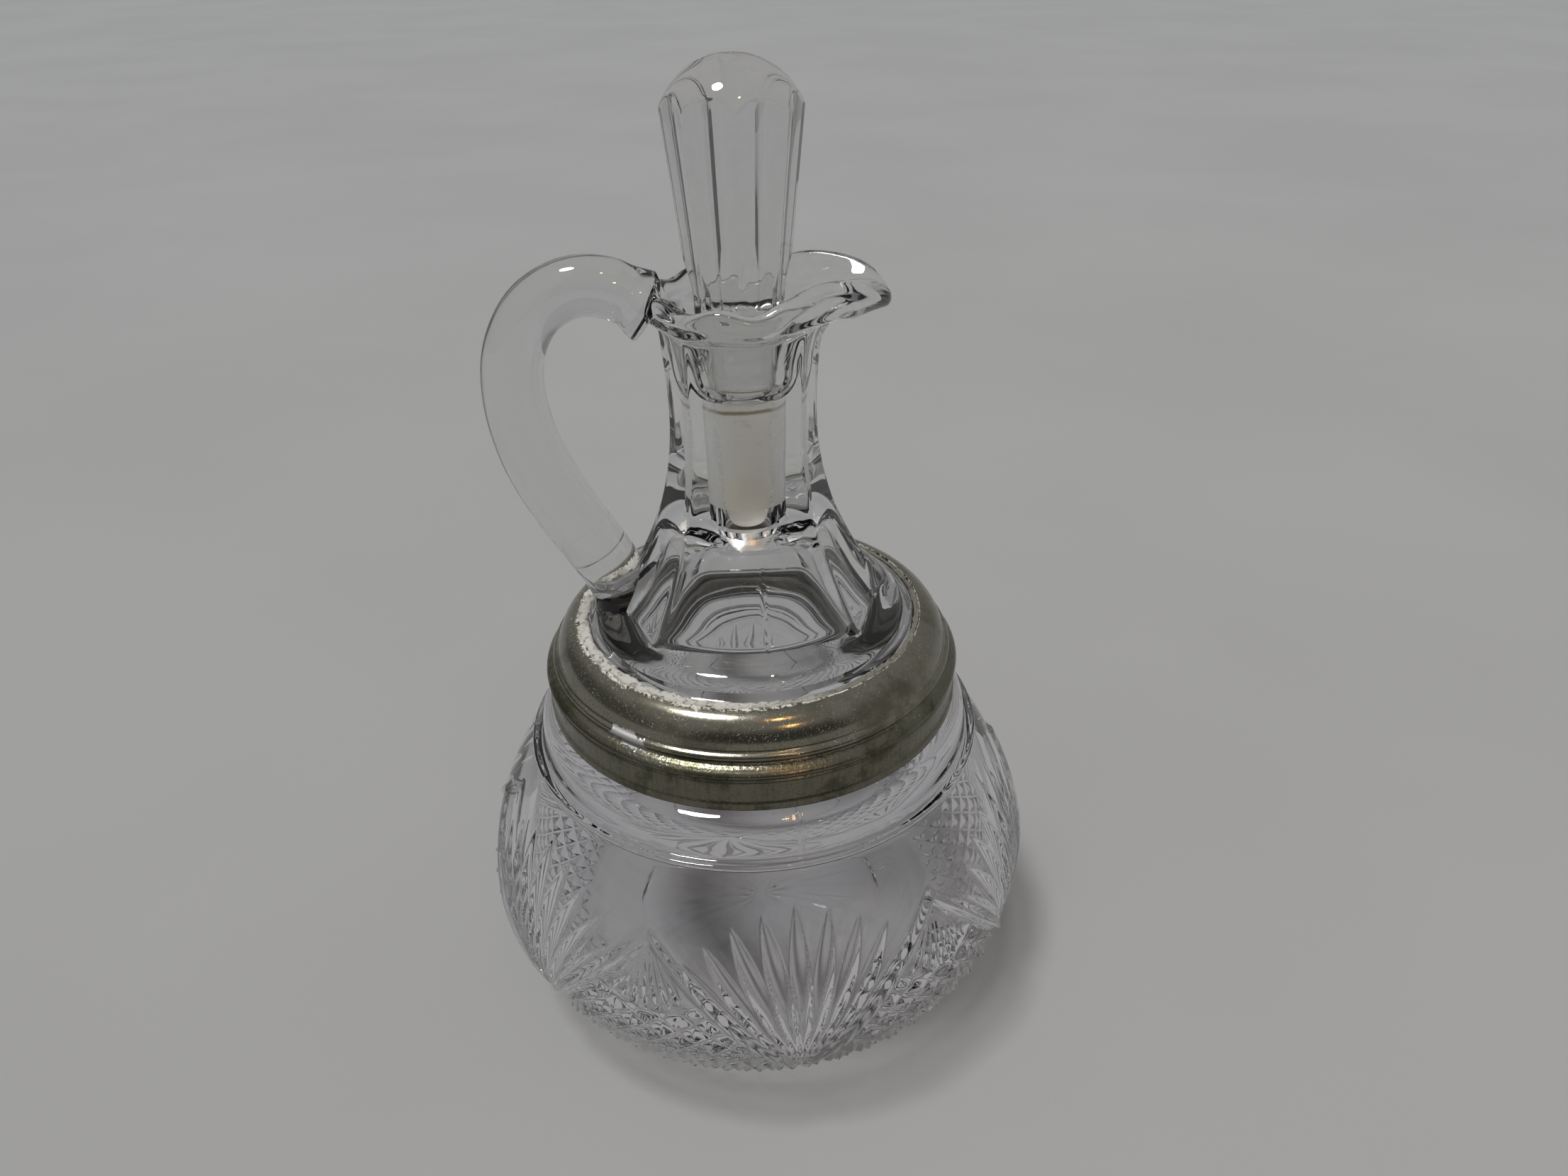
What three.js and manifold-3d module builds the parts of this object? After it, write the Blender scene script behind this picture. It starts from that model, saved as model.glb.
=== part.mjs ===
// Two-part pressed glass cruet: a squat bowl, and a neck with spout, handle and
// ground stopper that screws onto the bowl with a sheet metal collar.
// Millimetres, +Z up. The origin is the centre of the foot. The spout points along +X,
// the handle along -X, and -Y is the front.

import * as THREE from 'three';
import { mergeVertices } from 'three/addons/utils/BufferGeometryUtils.js';
import Module from 'manifold-3d';

const wasm = await Module();
wasm.setup();

// Bowl
const BOWL_RADIUS = 48.5;
const WIDEST_HEIGHT = 25;
const FOOT_TURN_IN = 1.6;
const SHOULDER_RADIUS = 38.8;
const SHOULDER_HEIGHT = 49.6;
const UPPER_FULLNESS = 1.72;
const SHOULDER_STEP = 1.4;
const BAND_HEIGHT = 8.1;
const BAND_TAPER = 1.2;
const BAND_ROUND = 2.4;
const BOWL_WALL = 4.6;
const FLOOR_THICKNESS = 5.5;
const FLOOR_ROUND = 17;
const BASE_RECESS_RADIUS = 24;
const BASE_RECESS_DEPTH = 0.8;
const BASE_STAR_RAYS = 16;
const BASE_STAR_RAY_RADIUS = 1.3;
const BASE_STAR_MARGIN = 1.5;

// Screw finish of the bowl
const FINISH_RADIUS = 32.3;
const FINISH_HEIGHT = 7.6;
const MOUTH_RADIUS = 28;
const MOUTH_DEPTH = 12;
const THREAD_PITCH = 3.8;
const THREAD_TURNS = 1.25;
const THREAD_DEPTH = 0.9;
const THREAD_WIDTH = 2;
const THREAD_DROP = 1.5;

// Pressed pattern of fans and diamond points
const FAN_COUNT = 6;
const FAN_TURN = THREE.MathUtils.degToRad(4);
const FAN_ORIGIN_HEIGHT = 12;
const FAN_REACH = 33.5;
const FAN_SPREAD = THREE.MathUtils.degToRad(37);
const FAN_RAYS = 9;
const RAY_DEPTH = 0.9;
const RAY_EDGE_PROUD = 0.15;
const RAY_TOP_PROUD = 1.3;
const RAY_FILL = 0.84;
const SMALL_FAN_HEIGHT = 39;
const SMALL_FAN_REACH = 14.5;
const SMALL_FAN_SPREAD = THREE.MathUtils.degToRad(30);
const SMALL_FAN_RAYS = 3;
const POINT_RADIUS = 2.9;
const POINT_PROUD = 0.8;
const POINT_SPACING = 6.2;
const POINT_ROW_SPACING = 5.6;
const POINT_TOP_HEIGHT = 20.5;
const POINT_ROW_COUNTS = [1, 2, 3];

// Metal collar
const SHEET = 0.55;
const THREAD_CLEARANCE = 0.75;
const COLLAR_FOOT_GAP = 0.4;
const HEM_PROUD = 0.25;
const HEM_HEIGHT = 1.7;
const BEAD_HEIGHT = 6.5;
const BEAD_RADIUS = 0.75;
const UPPER_BEAD_HEIGHT = 8.9;
const UPPER_BEAD_INSET = 1.35;
const DOME_INSET = 1.8;
const DOME_RISE = 4.9;
const COLLAR_OPENING_RADIUS = 28.4;

// Washer, cement and the gaps between stacked pieces
const WASHER_THICKNESS = 1.5;
const WASHER_MARGIN = 0.5;
const SEAT_GAP = 0.3;
const CEMENT_THICKNESS = 0.8;
const CEMENT_PROUD = 0.5;
const CEMENT_START = 0.25;

// Neck
const NECK_CORNER_TURN = THREE.MathUtils.degToRad(45);
const NECK_FRONT_BULGE = 0.15;
const BASE_RING_RADIUS = 25.5;
const BASE_RING_RISE = 5.9;
const FLANGE_SHOULDER_INSET = 1.3;
const FLANGE_SLOPE = 0.55;
const NECK_RING_RADIUS = 22.6;
const NECK_FOOT_RADIUS = 23.4;
const NECK_FOOT_ROUND = 2.4;
const WAIST_RADIUS = 11.35;
const WAIST_RISE = 33;
const NECK_FLARE = 2.2;
const LIP_RADIUS = 13.3;
const LIP_RISE = 18.3;
const LIP_FLARE = 1.1;
const PANEL_END = 0.6;
const LIP_START = 0.75;
const LIP_THICKNESS = 2;
const FLARE_RADIUS = 22;
const FLARE_FULLNESS = 1.5;

// Spout, as a stretch of the top of the neck
const SPOUT_REACH = 8.6;
const SPOUT_ANGLE = THREE.MathUtils.degToRad(35);
const SPOUT_DEPTH = 12.5;
const SPOUT_CURL = 3.5;
const SPOUT_RISE = 3.2;
const SPOUT_RISE_ANGLE = THREE.MathUtils.degToRad(39);
const SPOUT_RISE_WIDTH = THREE.MathUtils.degToRad(25);
const SPOUT_DROOP = 1.1;
const SPOUT_DROOP_ANGLE = THREE.MathUtils.degToRad(14);

// Ground bore and stopper
const BORE_TOP_RADIUS = 5.3;
const BORE_TAPER = 0.5;
const BORE_LENGTH = 22;
const BORE_TOP_RISE = 1.3;
const FUNNEL_RADIUS = 8;
const FUNNEL_LENGTH = 7;
const STOPPER_CLEARANCE = 0.3;
const PLUG_RISE = 1;
const PLUG_BEVEL = 1.6;
const SHANK_RADIUS = 6.7;
const SHANK_CONE_LENGTH = 5;
const SHANK_LENGTH = 13;
const SHANK_EASE = 2;
const HEAD_BOTTOM_RADIUS = 6.95;
const HEAD_TOP_RADIUS = 10.45;
const HEAD_LENGTH = 34.65;
const HEAD_ROUND_RADIUS = 10.75;
const HEAD_SIDES = 8;

// Handle: a bent rod from a stub on the neck's shoulder, out to a bow and over a crown
// down into the lip
const HANDLE_RADIUS = 4.8;
const HANDLE_CLEARANCE = 0.3;
const HANDLE_LEAN = THREE.MathUtils.degToRad(29);
const HANDLE_JOINT_RISE = 10;
const HANDLE_JOINT_CLEAR = 7.6;
const HANDLE_BOW = 22.55;
const HANDLE_BOW_DROP = 15.5;
const HANDLE_CROWN_REACH = 9;
const HANDLE_CROWN_RISE = 1;
const HANDLE_END_INSET = 2.3;
const HANDLE_END_DROP = 4.4;
const HANDLE_END_LEAN = THREE.MathUtils.degToRad(53);
const STUB_INSET = 2.4;
const STUB_SINK = 3.1;
const SPUR_RADIUS = 2.1;
const SPUR_LENGTH = 5.5;
const SPUR_CLEAR = 1.7;
const SPUR_DROP = 3.2;

// Heights and radii that follow from the stack of pieces
const bandTop = SHOULDER_HEIGHT + BAND_HEIGHT;
const rimHeight = bandTop + FINISH_HEIGHT;
const collarFoot = bandTop + COLLAR_FOOT_GAP;
const washerBottom = rimHeight + SEAT_GAP;
const flangeBottom = washerBottom + WASHER_THICKNESS + SEAT_GAP;
const collarInside = FINISH_RADIUS + THREAD_DEPTH + THREAD_CLEARANCE;
const collarOutside = collarInside + SHEET;
const baseRingHeight = flangeBottom + BASE_RING_RISE;
const neckFoot = baseRingHeight + NECK_FOOT_ROUND;
const waistHeight = neckFoot + WAIST_RISE;
const lipHeight = waistHeight + LIP_RISE;
const boreTop = waistHeight + BORE_TOP_RISE;
const boreBottom = boreTop - BORE_LENGTH;
const boreBottomRadius = BORE_TOP_RADIUS - BORE_TAPER;
const lowerRound = WIDEST_HEIGHT + FOOT_TURN_IN;
const footRadius = BOWL_RADIUS - lowerRound
  + Math.sqrt(lowerRound ** 2 - WIDEST_HEIGHT ** 2);

const ROUND_SEGMENTS = 40;
const BOWL_SEGMENTS = 42;
const BORE_SEGMENTS = 24;

function glass(color) {
  return new THREE.MeshStandardMaterial({
    color, roughness: 0.04, metalness: 0, transparent: true, opacity: 0.45,
  });
}

const materials = {
  bowl: glass(0xdcdbe2),
  top: glass(0xe2e4e6),
  stopper: glass(0xe8e8e8),
  metal: new THREE.MeshStandardMaterial({ color: 0x77745f, roughness: 0.35, metalness: 0.9 }),
  cement: new THREE.MeshStandardMaterial({ color: 0xd9d6cc, roughness: 0.95, metalness: 0 }),
  washer: new THREE.MeshStandardMaterial({ color: 0x6b4a30, roughness: 0.9, metalness: 0 }),
};

const v2 = (radius, height) => new THREE.Vector2(radius, height);

// A solid of revolution about Z from a profile of (radius, height) points.
function turned(profile, segments) {
  const geometry = new THREE.LatheGeometry(profile, segments);
  geometry.rotateX(Math.PI / 2);
  return geometry;
}

// Closes a profile that runs from one end of a ring round to the other.
function ringProfile(points) {
  return [...points, points[0].clone()];
}

function toSolid(geometry) {
  const bare = new THREE.BufferGeometry();
  bare.setAttribute('position', geometry.attributes.position.clone());
  if (geometry.index) bare.setIndex(geometry.index.clone());
  const merged = mergeVertices(bare, 1e-4);
  const corners = merged.index.array;
  const triangles = [];
  for (let i = 0; i < corners.length; i += 3) {
    const [a, b, c] = [corners[i], corners[i + 1], corners[i + 2]];
    if (a !== b && b !== c && c !== a) triangles.push(a, b, c);
  }
  const mesh = new wasm.Mesh({
    numProp: 3,
    vertProperties: Float32Array.from(merged.attributes.position.array),
    triVerts: Uint32Array.from(triangles),
  });
  const solid = new wasm.Manifold(mesh);
  return solid.volume() < 0 ? new wasm.Manifold(flipped(mesh)) : solid;
}

function flipped(mesh) {
  const triVerts = Uint32Array.from(mesh.triVerts);
  for (let i = 0; i < triVerts.length; i += 3) {
    [triVerts[i], triVerts[i + 1]] = [triVerts[i + 1], triVerts[i]];
  }
  return new wasm.Mesh({ numProp: 3, vertProperties: mesh.vertProperties, triVerts });
}

function toGeometry(solid) {
  const mesh = solid.getMesh();
  const positions = [];
  for (let i = 0; i < mesh.vertProperties.length; i += mesh.numProp) {
    positions.push(...mesh.vertProperties.slice(i, i + 3));
  }
  const geometry = new THREE.BufferGeometry();
  geometry.setAttribute('position', new THREE.Float32BufferAttribute(positions, 3));
  geometry.setIndex(Array.from(mesh.triVerts));
  geometry.computeVertexNormals();
  return geometry;
}

// Moves every vertex of a geometry by a rule on its position.
function reshape(geometry, rule) {
  const position = geometry.attributes.position;
  const point = new THREE.Vector3();
  for (let i = 0; i < position.count; i += 1) {
    point.fromBufferAttribute(position, i);
    rule(point);
    position.setXYZ(i, point.x, point.y, point.z);
  }
  return geometry;
}

function unionOf(solids) {
  return solids.reduce((whole, solid) => whole.add(solid));
}

// Outer radius of the bowl at a height, without the pattern.
function bowlRadius(height) {
  const offset = height - WIDEST_HEIGHT;
  if (offset < 0) {
    return BOWL_RADIUS - lowerRound + Math.sqrt(lowerRound ** 2 - offset ** 2);
  }
  const share = offset / (SHOULDER_HEIGHT - WIDEST_HEIGHT);
  return BOWL_RADIUS - (BOWL_RADIUS - SHOULDER_RADIUS) * share ** UPPER_FULLNESS;
}

function bowlPoint(angle, height, proud = 0) {
  const step = SHOULDER_HEIGHT / 100;
  const slope = (bowlRadius(height + step) - bowlRadius(height - step)) / (2 * step);
  const outward = v2(1, -slope).normalize();
  const radius = bowlRadius(height) + proud * outward.x;
  return new THREE.Vector3(
    radius * Math.cos(angle), radius * Math.sin(angle), height + proud * outward.y,
  );
}

function bowlOutside() {
  const points = [v2(0, 0), v2(footRadius, 0)];
  const footTurn = Math.asin(WIDEST_HEIGHT / lowerRound);
  const steps = 5;
  for (let i = 1; i <= steps; i += 1) {
    const height = WIDEST_HEIGHT - lowerRound * Math.sin(footTurn * (1 - i / steps));
    points.push(v2(bowlRadius(height), height));
  }
  for (let i = 1; i <= steps; i += 1) {
    const height = WIDEST_HEIGHT + ((SHOULDER_HEIGHT - WIDEST_HEIGHT) * i) / steps;
    points.push(v2(bowlRadius(height), height));
  }
  const bandFoot = SHOULDER_RADIUS - SHOULDER_STEP;
  const bandHead = bandFoot - BAND_TAPER;
  points.push(v2(bandFoot, SHOULDER_HEIGHT + SHOULDER_STEP * 0.6));
  for (let i = 0; i <= 3; i += 1) {
    const turn = (Math.PI / 2) * (i / 3);
    points.push(v2(
      bandHead - BAND_ROUND * (1 - Math.cos(turn)),
      bandTop - BAND_ROUND * (1 - Math.sin(turn)),
    ));
  }
  points.push(v2(FINISH_RADIUS, bandTop));
  points.push(v2(FINISH_RADIUS, rimHeight - THREAD_DEPTH));
  points.push(v2(FINISH_RADIUS - THREAD_DEPTH, rimHeight));
  points.push(v2(0, rimHeight));
  return toSolid(turned(points, BOWL_SEGMENTS));
}

function bowlInside() {
  const points = [v2(0, FLOOR_THICKNESS)];
  const innerRadius = BOWL_RADIUS - BOWL_WALL;
  const steps = 4;
  for (let i = 0; i <= steps; i += 1) {
    const turn = (Math.PI / 2) * (i / steps);
    points.push(v2(
      innerRadius - FLOOR_ROUND * (1 - Math.sin(turn)),
      FLOOR_THICKNESS + FLOOR_ROUND * (1 - Math.cos(turn)),
    ));
  }
  const mouthFoot = rimHeight - MOUTH_DEPTH;
  for (const share of [0.3, 0.54, 0.74, 0.9]) {
    const height = WIDEST_HEIGHT + (SHOULDER_HEIGHT - WIDEST_HEIGHT) * share;
    points.push(v2(bowlRadius(height) - BOWL_WALL, height));
  }
  const above = rimHeight + BOWL_WALL;
  points.push(v2(MOUTH_RADIUS, mouthFoot), v2(MOUTH_RADIUS, above), v2(0, above));
  return toSolid(turned(points, ROUND_SEGMENTS));
}

// A raised helix round the screw finish, its ends run out into the glass.
function screwThread() {
  const section = new THREE.Shape();
  section.moveTo(-THREAD_WIDTH / 2, -THREAD_DEPTH);
  section.lineTo(THREAD_WIDTH / 2, -THREAD_DEPTH);
  section.lineTo(THREAD_WIDTH / 4, THREAD_DEPTH);
  section.lineTo(-THREAD_WIDTH / 4, THREAD_DEPTH);
  section.closePath();
  const steps = Math.round(THREAD_TURNS * 32);
  const top = rimHeight - THREAD_DROP - THREAD_WIDTH / 2;
  const rings = [];
  for (let i = 0; i <= steps; i += 1) {
    const share = i / steps;
    const angle = share * THREAD_TURNS * 2 * Math.PI;
    const height = top - (1 - share) * THREAD_TURNS * THREAD_PITCH;
    const runOut = Math.min(1, share * 12, (1 - share) * 12);
    rings.push(section.getPoints().slice(0, 4).map((corner) => {
      const proud = corner.y > 0 ? corner.y * (runOut - 0.2 * (1 - runOut)) : corner.y;
      const radius = FINISH_RADIUS + proud;
      return new THREE.Vector3(
        radius * Math.cos(angle), radius * Math.sin(angle), height + corner.x,
      );
    }));
  }
  return toSolid(skin(rings));
}

// A closed skin over a row of equal rings of points.
function skin(rings) {
  const count = rings[0].length;
  const positions = rings.flat().flatMap((point) => point.toArray());
  const index = [];
  for (let i = 0; i + 1 < rings.length; i += 1) {
    for (let j = 0; j < count; j += 1) {
      const a = i * count + j;
      const b = i * count + ((j + 1) % count);
      index.push(a, b, a + count, b, b + count, a + count);
    }
  }
  const last = (rings.length - 1) * count;
  for (let j = 1; j + 1 < count; j += 1) {
    index.push(0, j + 1, j, last, last + j, last + j + 1);
  }
  const geometry = new THREE.BufferGeometry();
  geometry.setAttribute('position', new THREE.Float32BufferAttribute(positions, 3));
  geometry.setIndex(index);
  return geometry;
}

// One V-shaped leaf of a fan, as the solid that is cut away. It runs over the bowl from
// the fan's origin, in a direction that leans by lean from upright. A negative reach
// points the fan down.
function fanRay(angle, originHeight, reach, lean, pitch) {
  const halfWidth = (RAY_FILL * Math.abs(reach) * pitch) / 2;
  const stations = [0.05, 0.45, 0.8, 1];
  const widths = [0.06, 0.5, 0.85, 0.08];
  const rings = stations.map((share, i) => {
    const along = share * reach;
    const half = halfWidth * widths[i] * Math.sign(reach);
    const spot = (across, proud) => {
      const height = originHeight + along * Math.cos(lean) - across * Math.sin(lean);
      const sideways = along * Math.sin(lean) + across * Math.cos(lean);
      return bowlPoint(angle + sideways / bowlRadius(height), height, proud);
    };
    const depth = RAY_DEPTH * Math.min(1, widths[i] / 0.6);
    return [
      spot(-half, RAY_EDGE_PROUD),
      spot(0, RAY_TOP_PROUD),
      spot(half, RAY_EDGE_PROUD),
      spot(0, -depth),
    ];
  });
  return toSolid(skin(rings));
}

function fan(angle, originHeight, reach, spread, rays) {
  const pitch = (2 * spread) / (rays - 1);
  return Array.from({ length: rays }, (_, ray) => (
    fanRay(angle, originHeight, reach, ray * pitch - spread, pitch)
  ));
}

// One diamond point: a low four-sided pyramid set on the bowl.
function diamondPoint(angle, height) {
  const rooted = 2;
  const geometry = new THREE.ConeGeometry(POINT_RADIUS * rooted, POINT_PROUD * rooted, 4);
  geometry.translate(0, POINT_PROUD * (1 - rooted / 2), 0);
  const foot = bowlPoint(angle, height);
  const outward = bowlPoint(angle, height, 1).sub(foot).normalize();
  const upright = new THREE.Vector3(0, 1, 0);
  geometry.applyQuaternion(new THREE.Quaternion().setFromUnitVectors(upright, outward));
  geometry.translate(foot.x, foot.y, foot.z);
  return toSolid(geometry);
}

function fansAndPoints() {
  const cuts = [];
  const points = [];
  const sector = (2 * Math.PI) / FAN_COUNT;
  for (let i = 0; i < FAN_COUNT; i += 1) {
    const angle = FAN_TURN - Math.PI / 2 + i * sector;
    const between = angle + sector / 2;
    cuts.push(...fan(angle, FAN_ORIGIN_HEIGHT, FAN_REACH, FAN_SPREAD, FAN_RAYS));
    cuts.push(...fan(
      between, SMALL_FAN_HEIGHT, -SMALL_FAN_REACH, SMALL_FAN_SPREAD, SMALL_FAN_RAYS,
    ));
    POINT_ROW_COUNTS.forEach((across, row) => {
      const height = POINT_TOP_HEIGHT - row * POINT_ROW_SPACING;
      for (let j = 0; j < across; j += 1) {
        const sideways = (j - (across - 1) / 2) * POINT_SPACING;
        points.push(diamondPoint(between + sideways / bowlRadius(height), height));
      }
    });
  }
  return { cuts, points };
}

// The rayed star pressed into the underside, inside the flat foot ring.
function baseStar() {
  const recess = new THREE.CylinderGeometry(
    BASE_RECESS_RADIUS, BASE_RECESS_RADIUS, BASE_RECESS_DEPTH * 2, ROUND_SEGMENTS,
  );
  recess.rotateX(Math.PI / 2);
  const cuts = [toSolid(recess)];
  for (let i = 0; i < BASE_STAR_RAYS; i += 1) {
    const length = BASE_RECESS_RADIUS - 2 * BASE_STAR_MARGIN;
    const ray = new THREE.ConeGeometry(BASE_STAR_RAY_RADIUS, length, 4);
    ray.rotateZ(-Math.PI / 2);
    ray.translate(BASE_STAR_MARGIN + length / 2, 0, BASE_RECESS_DEPTH);
    ray.rotateZ((2 * Math.PI * i) / BASE_STAR_RAYS);
    cuts.push(toSolid(ray));
  }
  return unionOf(cuts);
}

function makeBowl() {
  const { cuts, points } = fansAndPoints();
  return bowlOutside()
    .add(screwThread())
    .add(unionOf(points))
    .subtract(unionOf(cuts))
    .subtract(baseStar())
    .subtract(bowlInside())
    .subtract(belowFoot());
}

// Everything under the plane that the cruet stands on.
function belowFoot() {
  const depth = BOWL_WALL;
  const slab = new THREE.BoxGeometry(3 * BOWL_RADIUS, 3 * BOWL_RADIUS, depth);
  slab.translate(0, 0, -depth / 2);
  return toSolid(slab);
}

// The path of the collar's outer face over its domed top, from the upper bead in.
function domeCurve() {
  const radius = collarOutside - DOME_INSET;
  const width = radius - COLLAR_OPENING_RADIUS;
  const height = collarFoot + UPPER_BEAD_HEIGHT + BEAD_RADIUS;
  return new THREE.CubicBezierCurve(
    v2(radius, height),
    v2(radius - 0.16 * width, height + 0.25 * DOME_RISE),
    v2(radius - 0.42 * width, height + 0.82 * DOME_RISE),
    v2(COLLAR_OPENING_RADIUS, height + DOME_RISE),
  );
}

// The domed path moved inwards, square to itself, from a share of its length on.
function domeOffset(inset, steps, from = 0) {
  const curve = domeCurve();
  const points = [];
  for (let i = 0; i <= steps; i += 1) {
    const share = from + ((1 - from) * i) / steps;
    const tangent = curve.getTangent(share);
    const inward = v2(-tangent.y, tangent.x);
    points.push(curve.getPoint(share).addScaledVector(inward, inset));
  }
  return points;
}

// The outer side of a bead rolled outwards in the sheet.
function bead(radius, height) {
  const points = [];
  for (let i = 0; i <= 3; i += 1) {
    const turn = -Math.PI / 2 + (Math.PI * i) / 3;
    points.push(v2(
      radius + BEAD_RADIUS * 0.6 * Math.cos(turn), height + BEAD_RADIUS * Math.sin(turn),
    ));
  }
  return points;
}

function makeCollar() {
  const lowerBead = collarFoot + BEAD_HEIGHT;
  const upperBead = collarFoot + UPPER_BEAD_HEIGHT;
  const upperRadius = collarOutside - UPPER_BEAD_INSET;
  const outer = [
    v2(collarOutside, collarFoot),
    v2(collarOutside + HEM_PROUD, collarFoot + HEM_HEIGHT / 2),
    v2(collarOutside, collarFoot + HEM_HEIGHT),
    ...bead(collarOutside, lowerBead),
    ...bead(upperRadius, upperBead),
    ...domeOffset(0, 5),
  ];
  const inner = [
    ...domeOffset(SHEET, 4).reverse(),
    v2(upperRadius - SHEET, upperBead - BEAD_RADIUS),
    v2(collarInside, lowerBead + BEAD_RADIUS),
    v2(collarInside, collarFoot),
  ];
  return toSolid(turned(ringProfile([...outer, ...inner]), ROUND_SEGMENTS));
}

function makeWasher() {
  const outer = FINISH_RADIUS - WASHER_MARGIN;
  const inner = MOUTH_RADIUS + WASHER_MARGIN;
  const top = washerBottom + WASHER_THICKNESS;
  return toSolid(turned(ringProfile([
    v2(inner, washerBottom), v2(outer, washerBottom), v2(outer, top), v2(inner, top),
  ]), ROUND_SEGMENTS));
}

// Plaster that fills the space between the dome of the collar and the glass flange,
// with a crust that shows inside the collar's opening.
function makeCement() {
  const outside = domeOffset(SHEET + SEAT_GAP, 3, CEMENT_START);
  const inside = domeOffset(SHEET + SEAT_GAP + CEMENT_THICKNESS, 3, CEMENT_START);
  const top = outside[outside.length - 1];
  const under = inside[inside.length - 1];
  return toSolid(turned(ringProfile([
    ...outside,
    v2(top.x - CEMENT_PROUD * 0.4, top.y + CEMENT_PROUD),
    v2(under.x, under.y + CEMENT_PROUD * 1.4),
    ...inside.reverse(),
  ]), ROUND_SEGMENTS));
}

// Radius of the neck's corners at a height above its foot.
function neckRadius(height) {
  if (height < waistHeight) {
    const share = (waistHeight - height) / WAIST_RISE;
    const flared = WAIST_RADIUS + (NECK_FOOT_RADIUS - WAIST_RADIUS) * share ** NECK_FLARE;
    return Math.min(NECK_RING_RADIUS, flared);
  }
  const share = (height - waistHeight) / LIP_RISE;
  return WAIST_RADIUS + (LIP_RADIUS - WAIST_RADIUS) * share ** LIP_FLARE;
}

// How far the neck has panels at a height: fully so up to the round lip.
function flatness(height) {
  const fade = (height - waistHeight) / LIP_RISE;
  if (height < neckFoot - 0.01) return 0;
  return 1 - THREE.MathUtils.smoothstep(fade, PANEL_END, LIP_START);
}

// Share of the corner radius that the six-cornered neck has in a direction. The side
// panels are flat. The front and back panels are twice as wide and bulge.
function panelFactor(angle) {
  const turn = NECK_CORNER_TURN;
  const fromFront = Math.abs(Math.abs(angle) - Math.PI / 2);
  if (fromFront < turn) {
    const bulge = NECK_FRONT_BULGE * (1 - (fromFront / turn) ** 2);
    return Math.cos(turn) / Math.cos(fromFront) + bulge;
  }
  const fromCorner = angle - Math.round(angle / turn) * turn;
  return Math.cos(turn / 2) / Math.cos(turn / 2 - Math.abs(fromCorner));
}

// The top of the neck pulled out to the spout and raised on both sides of it.
function spoutPull(point) {
  const share = (point.z - (lipHeight - SPOUT_DEPTH)) / SPOUT_DEPTH;
  if (share <= 0) return;
  const angle = Math.atan2(point.y, point.x);
  const bell = (offset, width) => Math.exp(-((offset / width) ** 2));
  const strength = Math.min(share, 1.05) ** SPOUT_CURL;
  const reach = SPOUT_REACH * strength * bell(angle, SPOUT_ANGLE);
  const radius = Math.hypot(point.x, point.y);
  point.x += (reach * point.x) / radius;
  point.y += (reach * point.y) / radius;
  point.z += strength * (
    SPOUT_RISE * bell(Math.abs(angle) - SPOUT_RISE_ANGLE, SPOUT_RISE_WIDTH)
    - SPOUT_DROOP * bell(angle, SPOUT_DROOP_ANGLE)
  );
}

// The neck's outside as a full solid, grown by grow for what is cut to fit it.
function neckOutside(grow) {
  const flangeInset = SHEET + 2 * SEAT_GAP + CEMENT_THICKNESS;
  const bevel = domeOffset(flangeInset, 3);
  const shoulder = COLLAR_OPENING_RADIUS - FLANGE_SHOULDER_INSET;
  const points = [v2(0, flangeBottom), v2(bevel[0].x + grow, flangeBottom)];
  for (const point of bevel.slice(1)) points.push(v2(point.x + grow, point.y + grow));
  points.push(v2(shoulder + grow, baseRingHeight - FLANGE_SLOPE + grow));
  for (let i = 0; i <= 3; i += 1) {
    const turn = (Math.PI / 2) * (i / 4);
    points.push(v2(
      NECK_RING_RADIUS + (BASE_RING_RADIUS - NECK_RING_RADIUS) * Math.cos(turn) + grow,
      baseRingHeight + NECK_FOOT_ROUND * Math.sin(turn) + grow,
    ));
  }
  const steps = 14;
  const rimRound = LIP_THICKNESS / 2;
  for (let i = 0; i <= steps; i += 1) {
    const height = neckFoot + ((lipHeight - rimRound - neckFoot) * i) / steps;
    points.push(v2(neckRadius(height) + grow, height));
  }
  points.push(v2(LIP_RADIUS - rimRound * 0.3 + grow, lipHeight - rimRound * 0.3));
  points.push(v2(LIP_RADIUS - rimRound + grow, lipHeight + grow));
  points.push(v2(0, lipHeight + grow));
  return reshape(turned(points, ROUND_SEGMENTS), (point) => {
    const radius = Math.hypot(point.x, point.y);
    if (radius < 1e-6) return;
    const factor = panelFactor(Math.atan2(point.y, point.x));
    const blend = 1 + flatness(point.z) * (factor - 1);
    point.x *= blend;
    point.y *= blend;
  });
}

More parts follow.
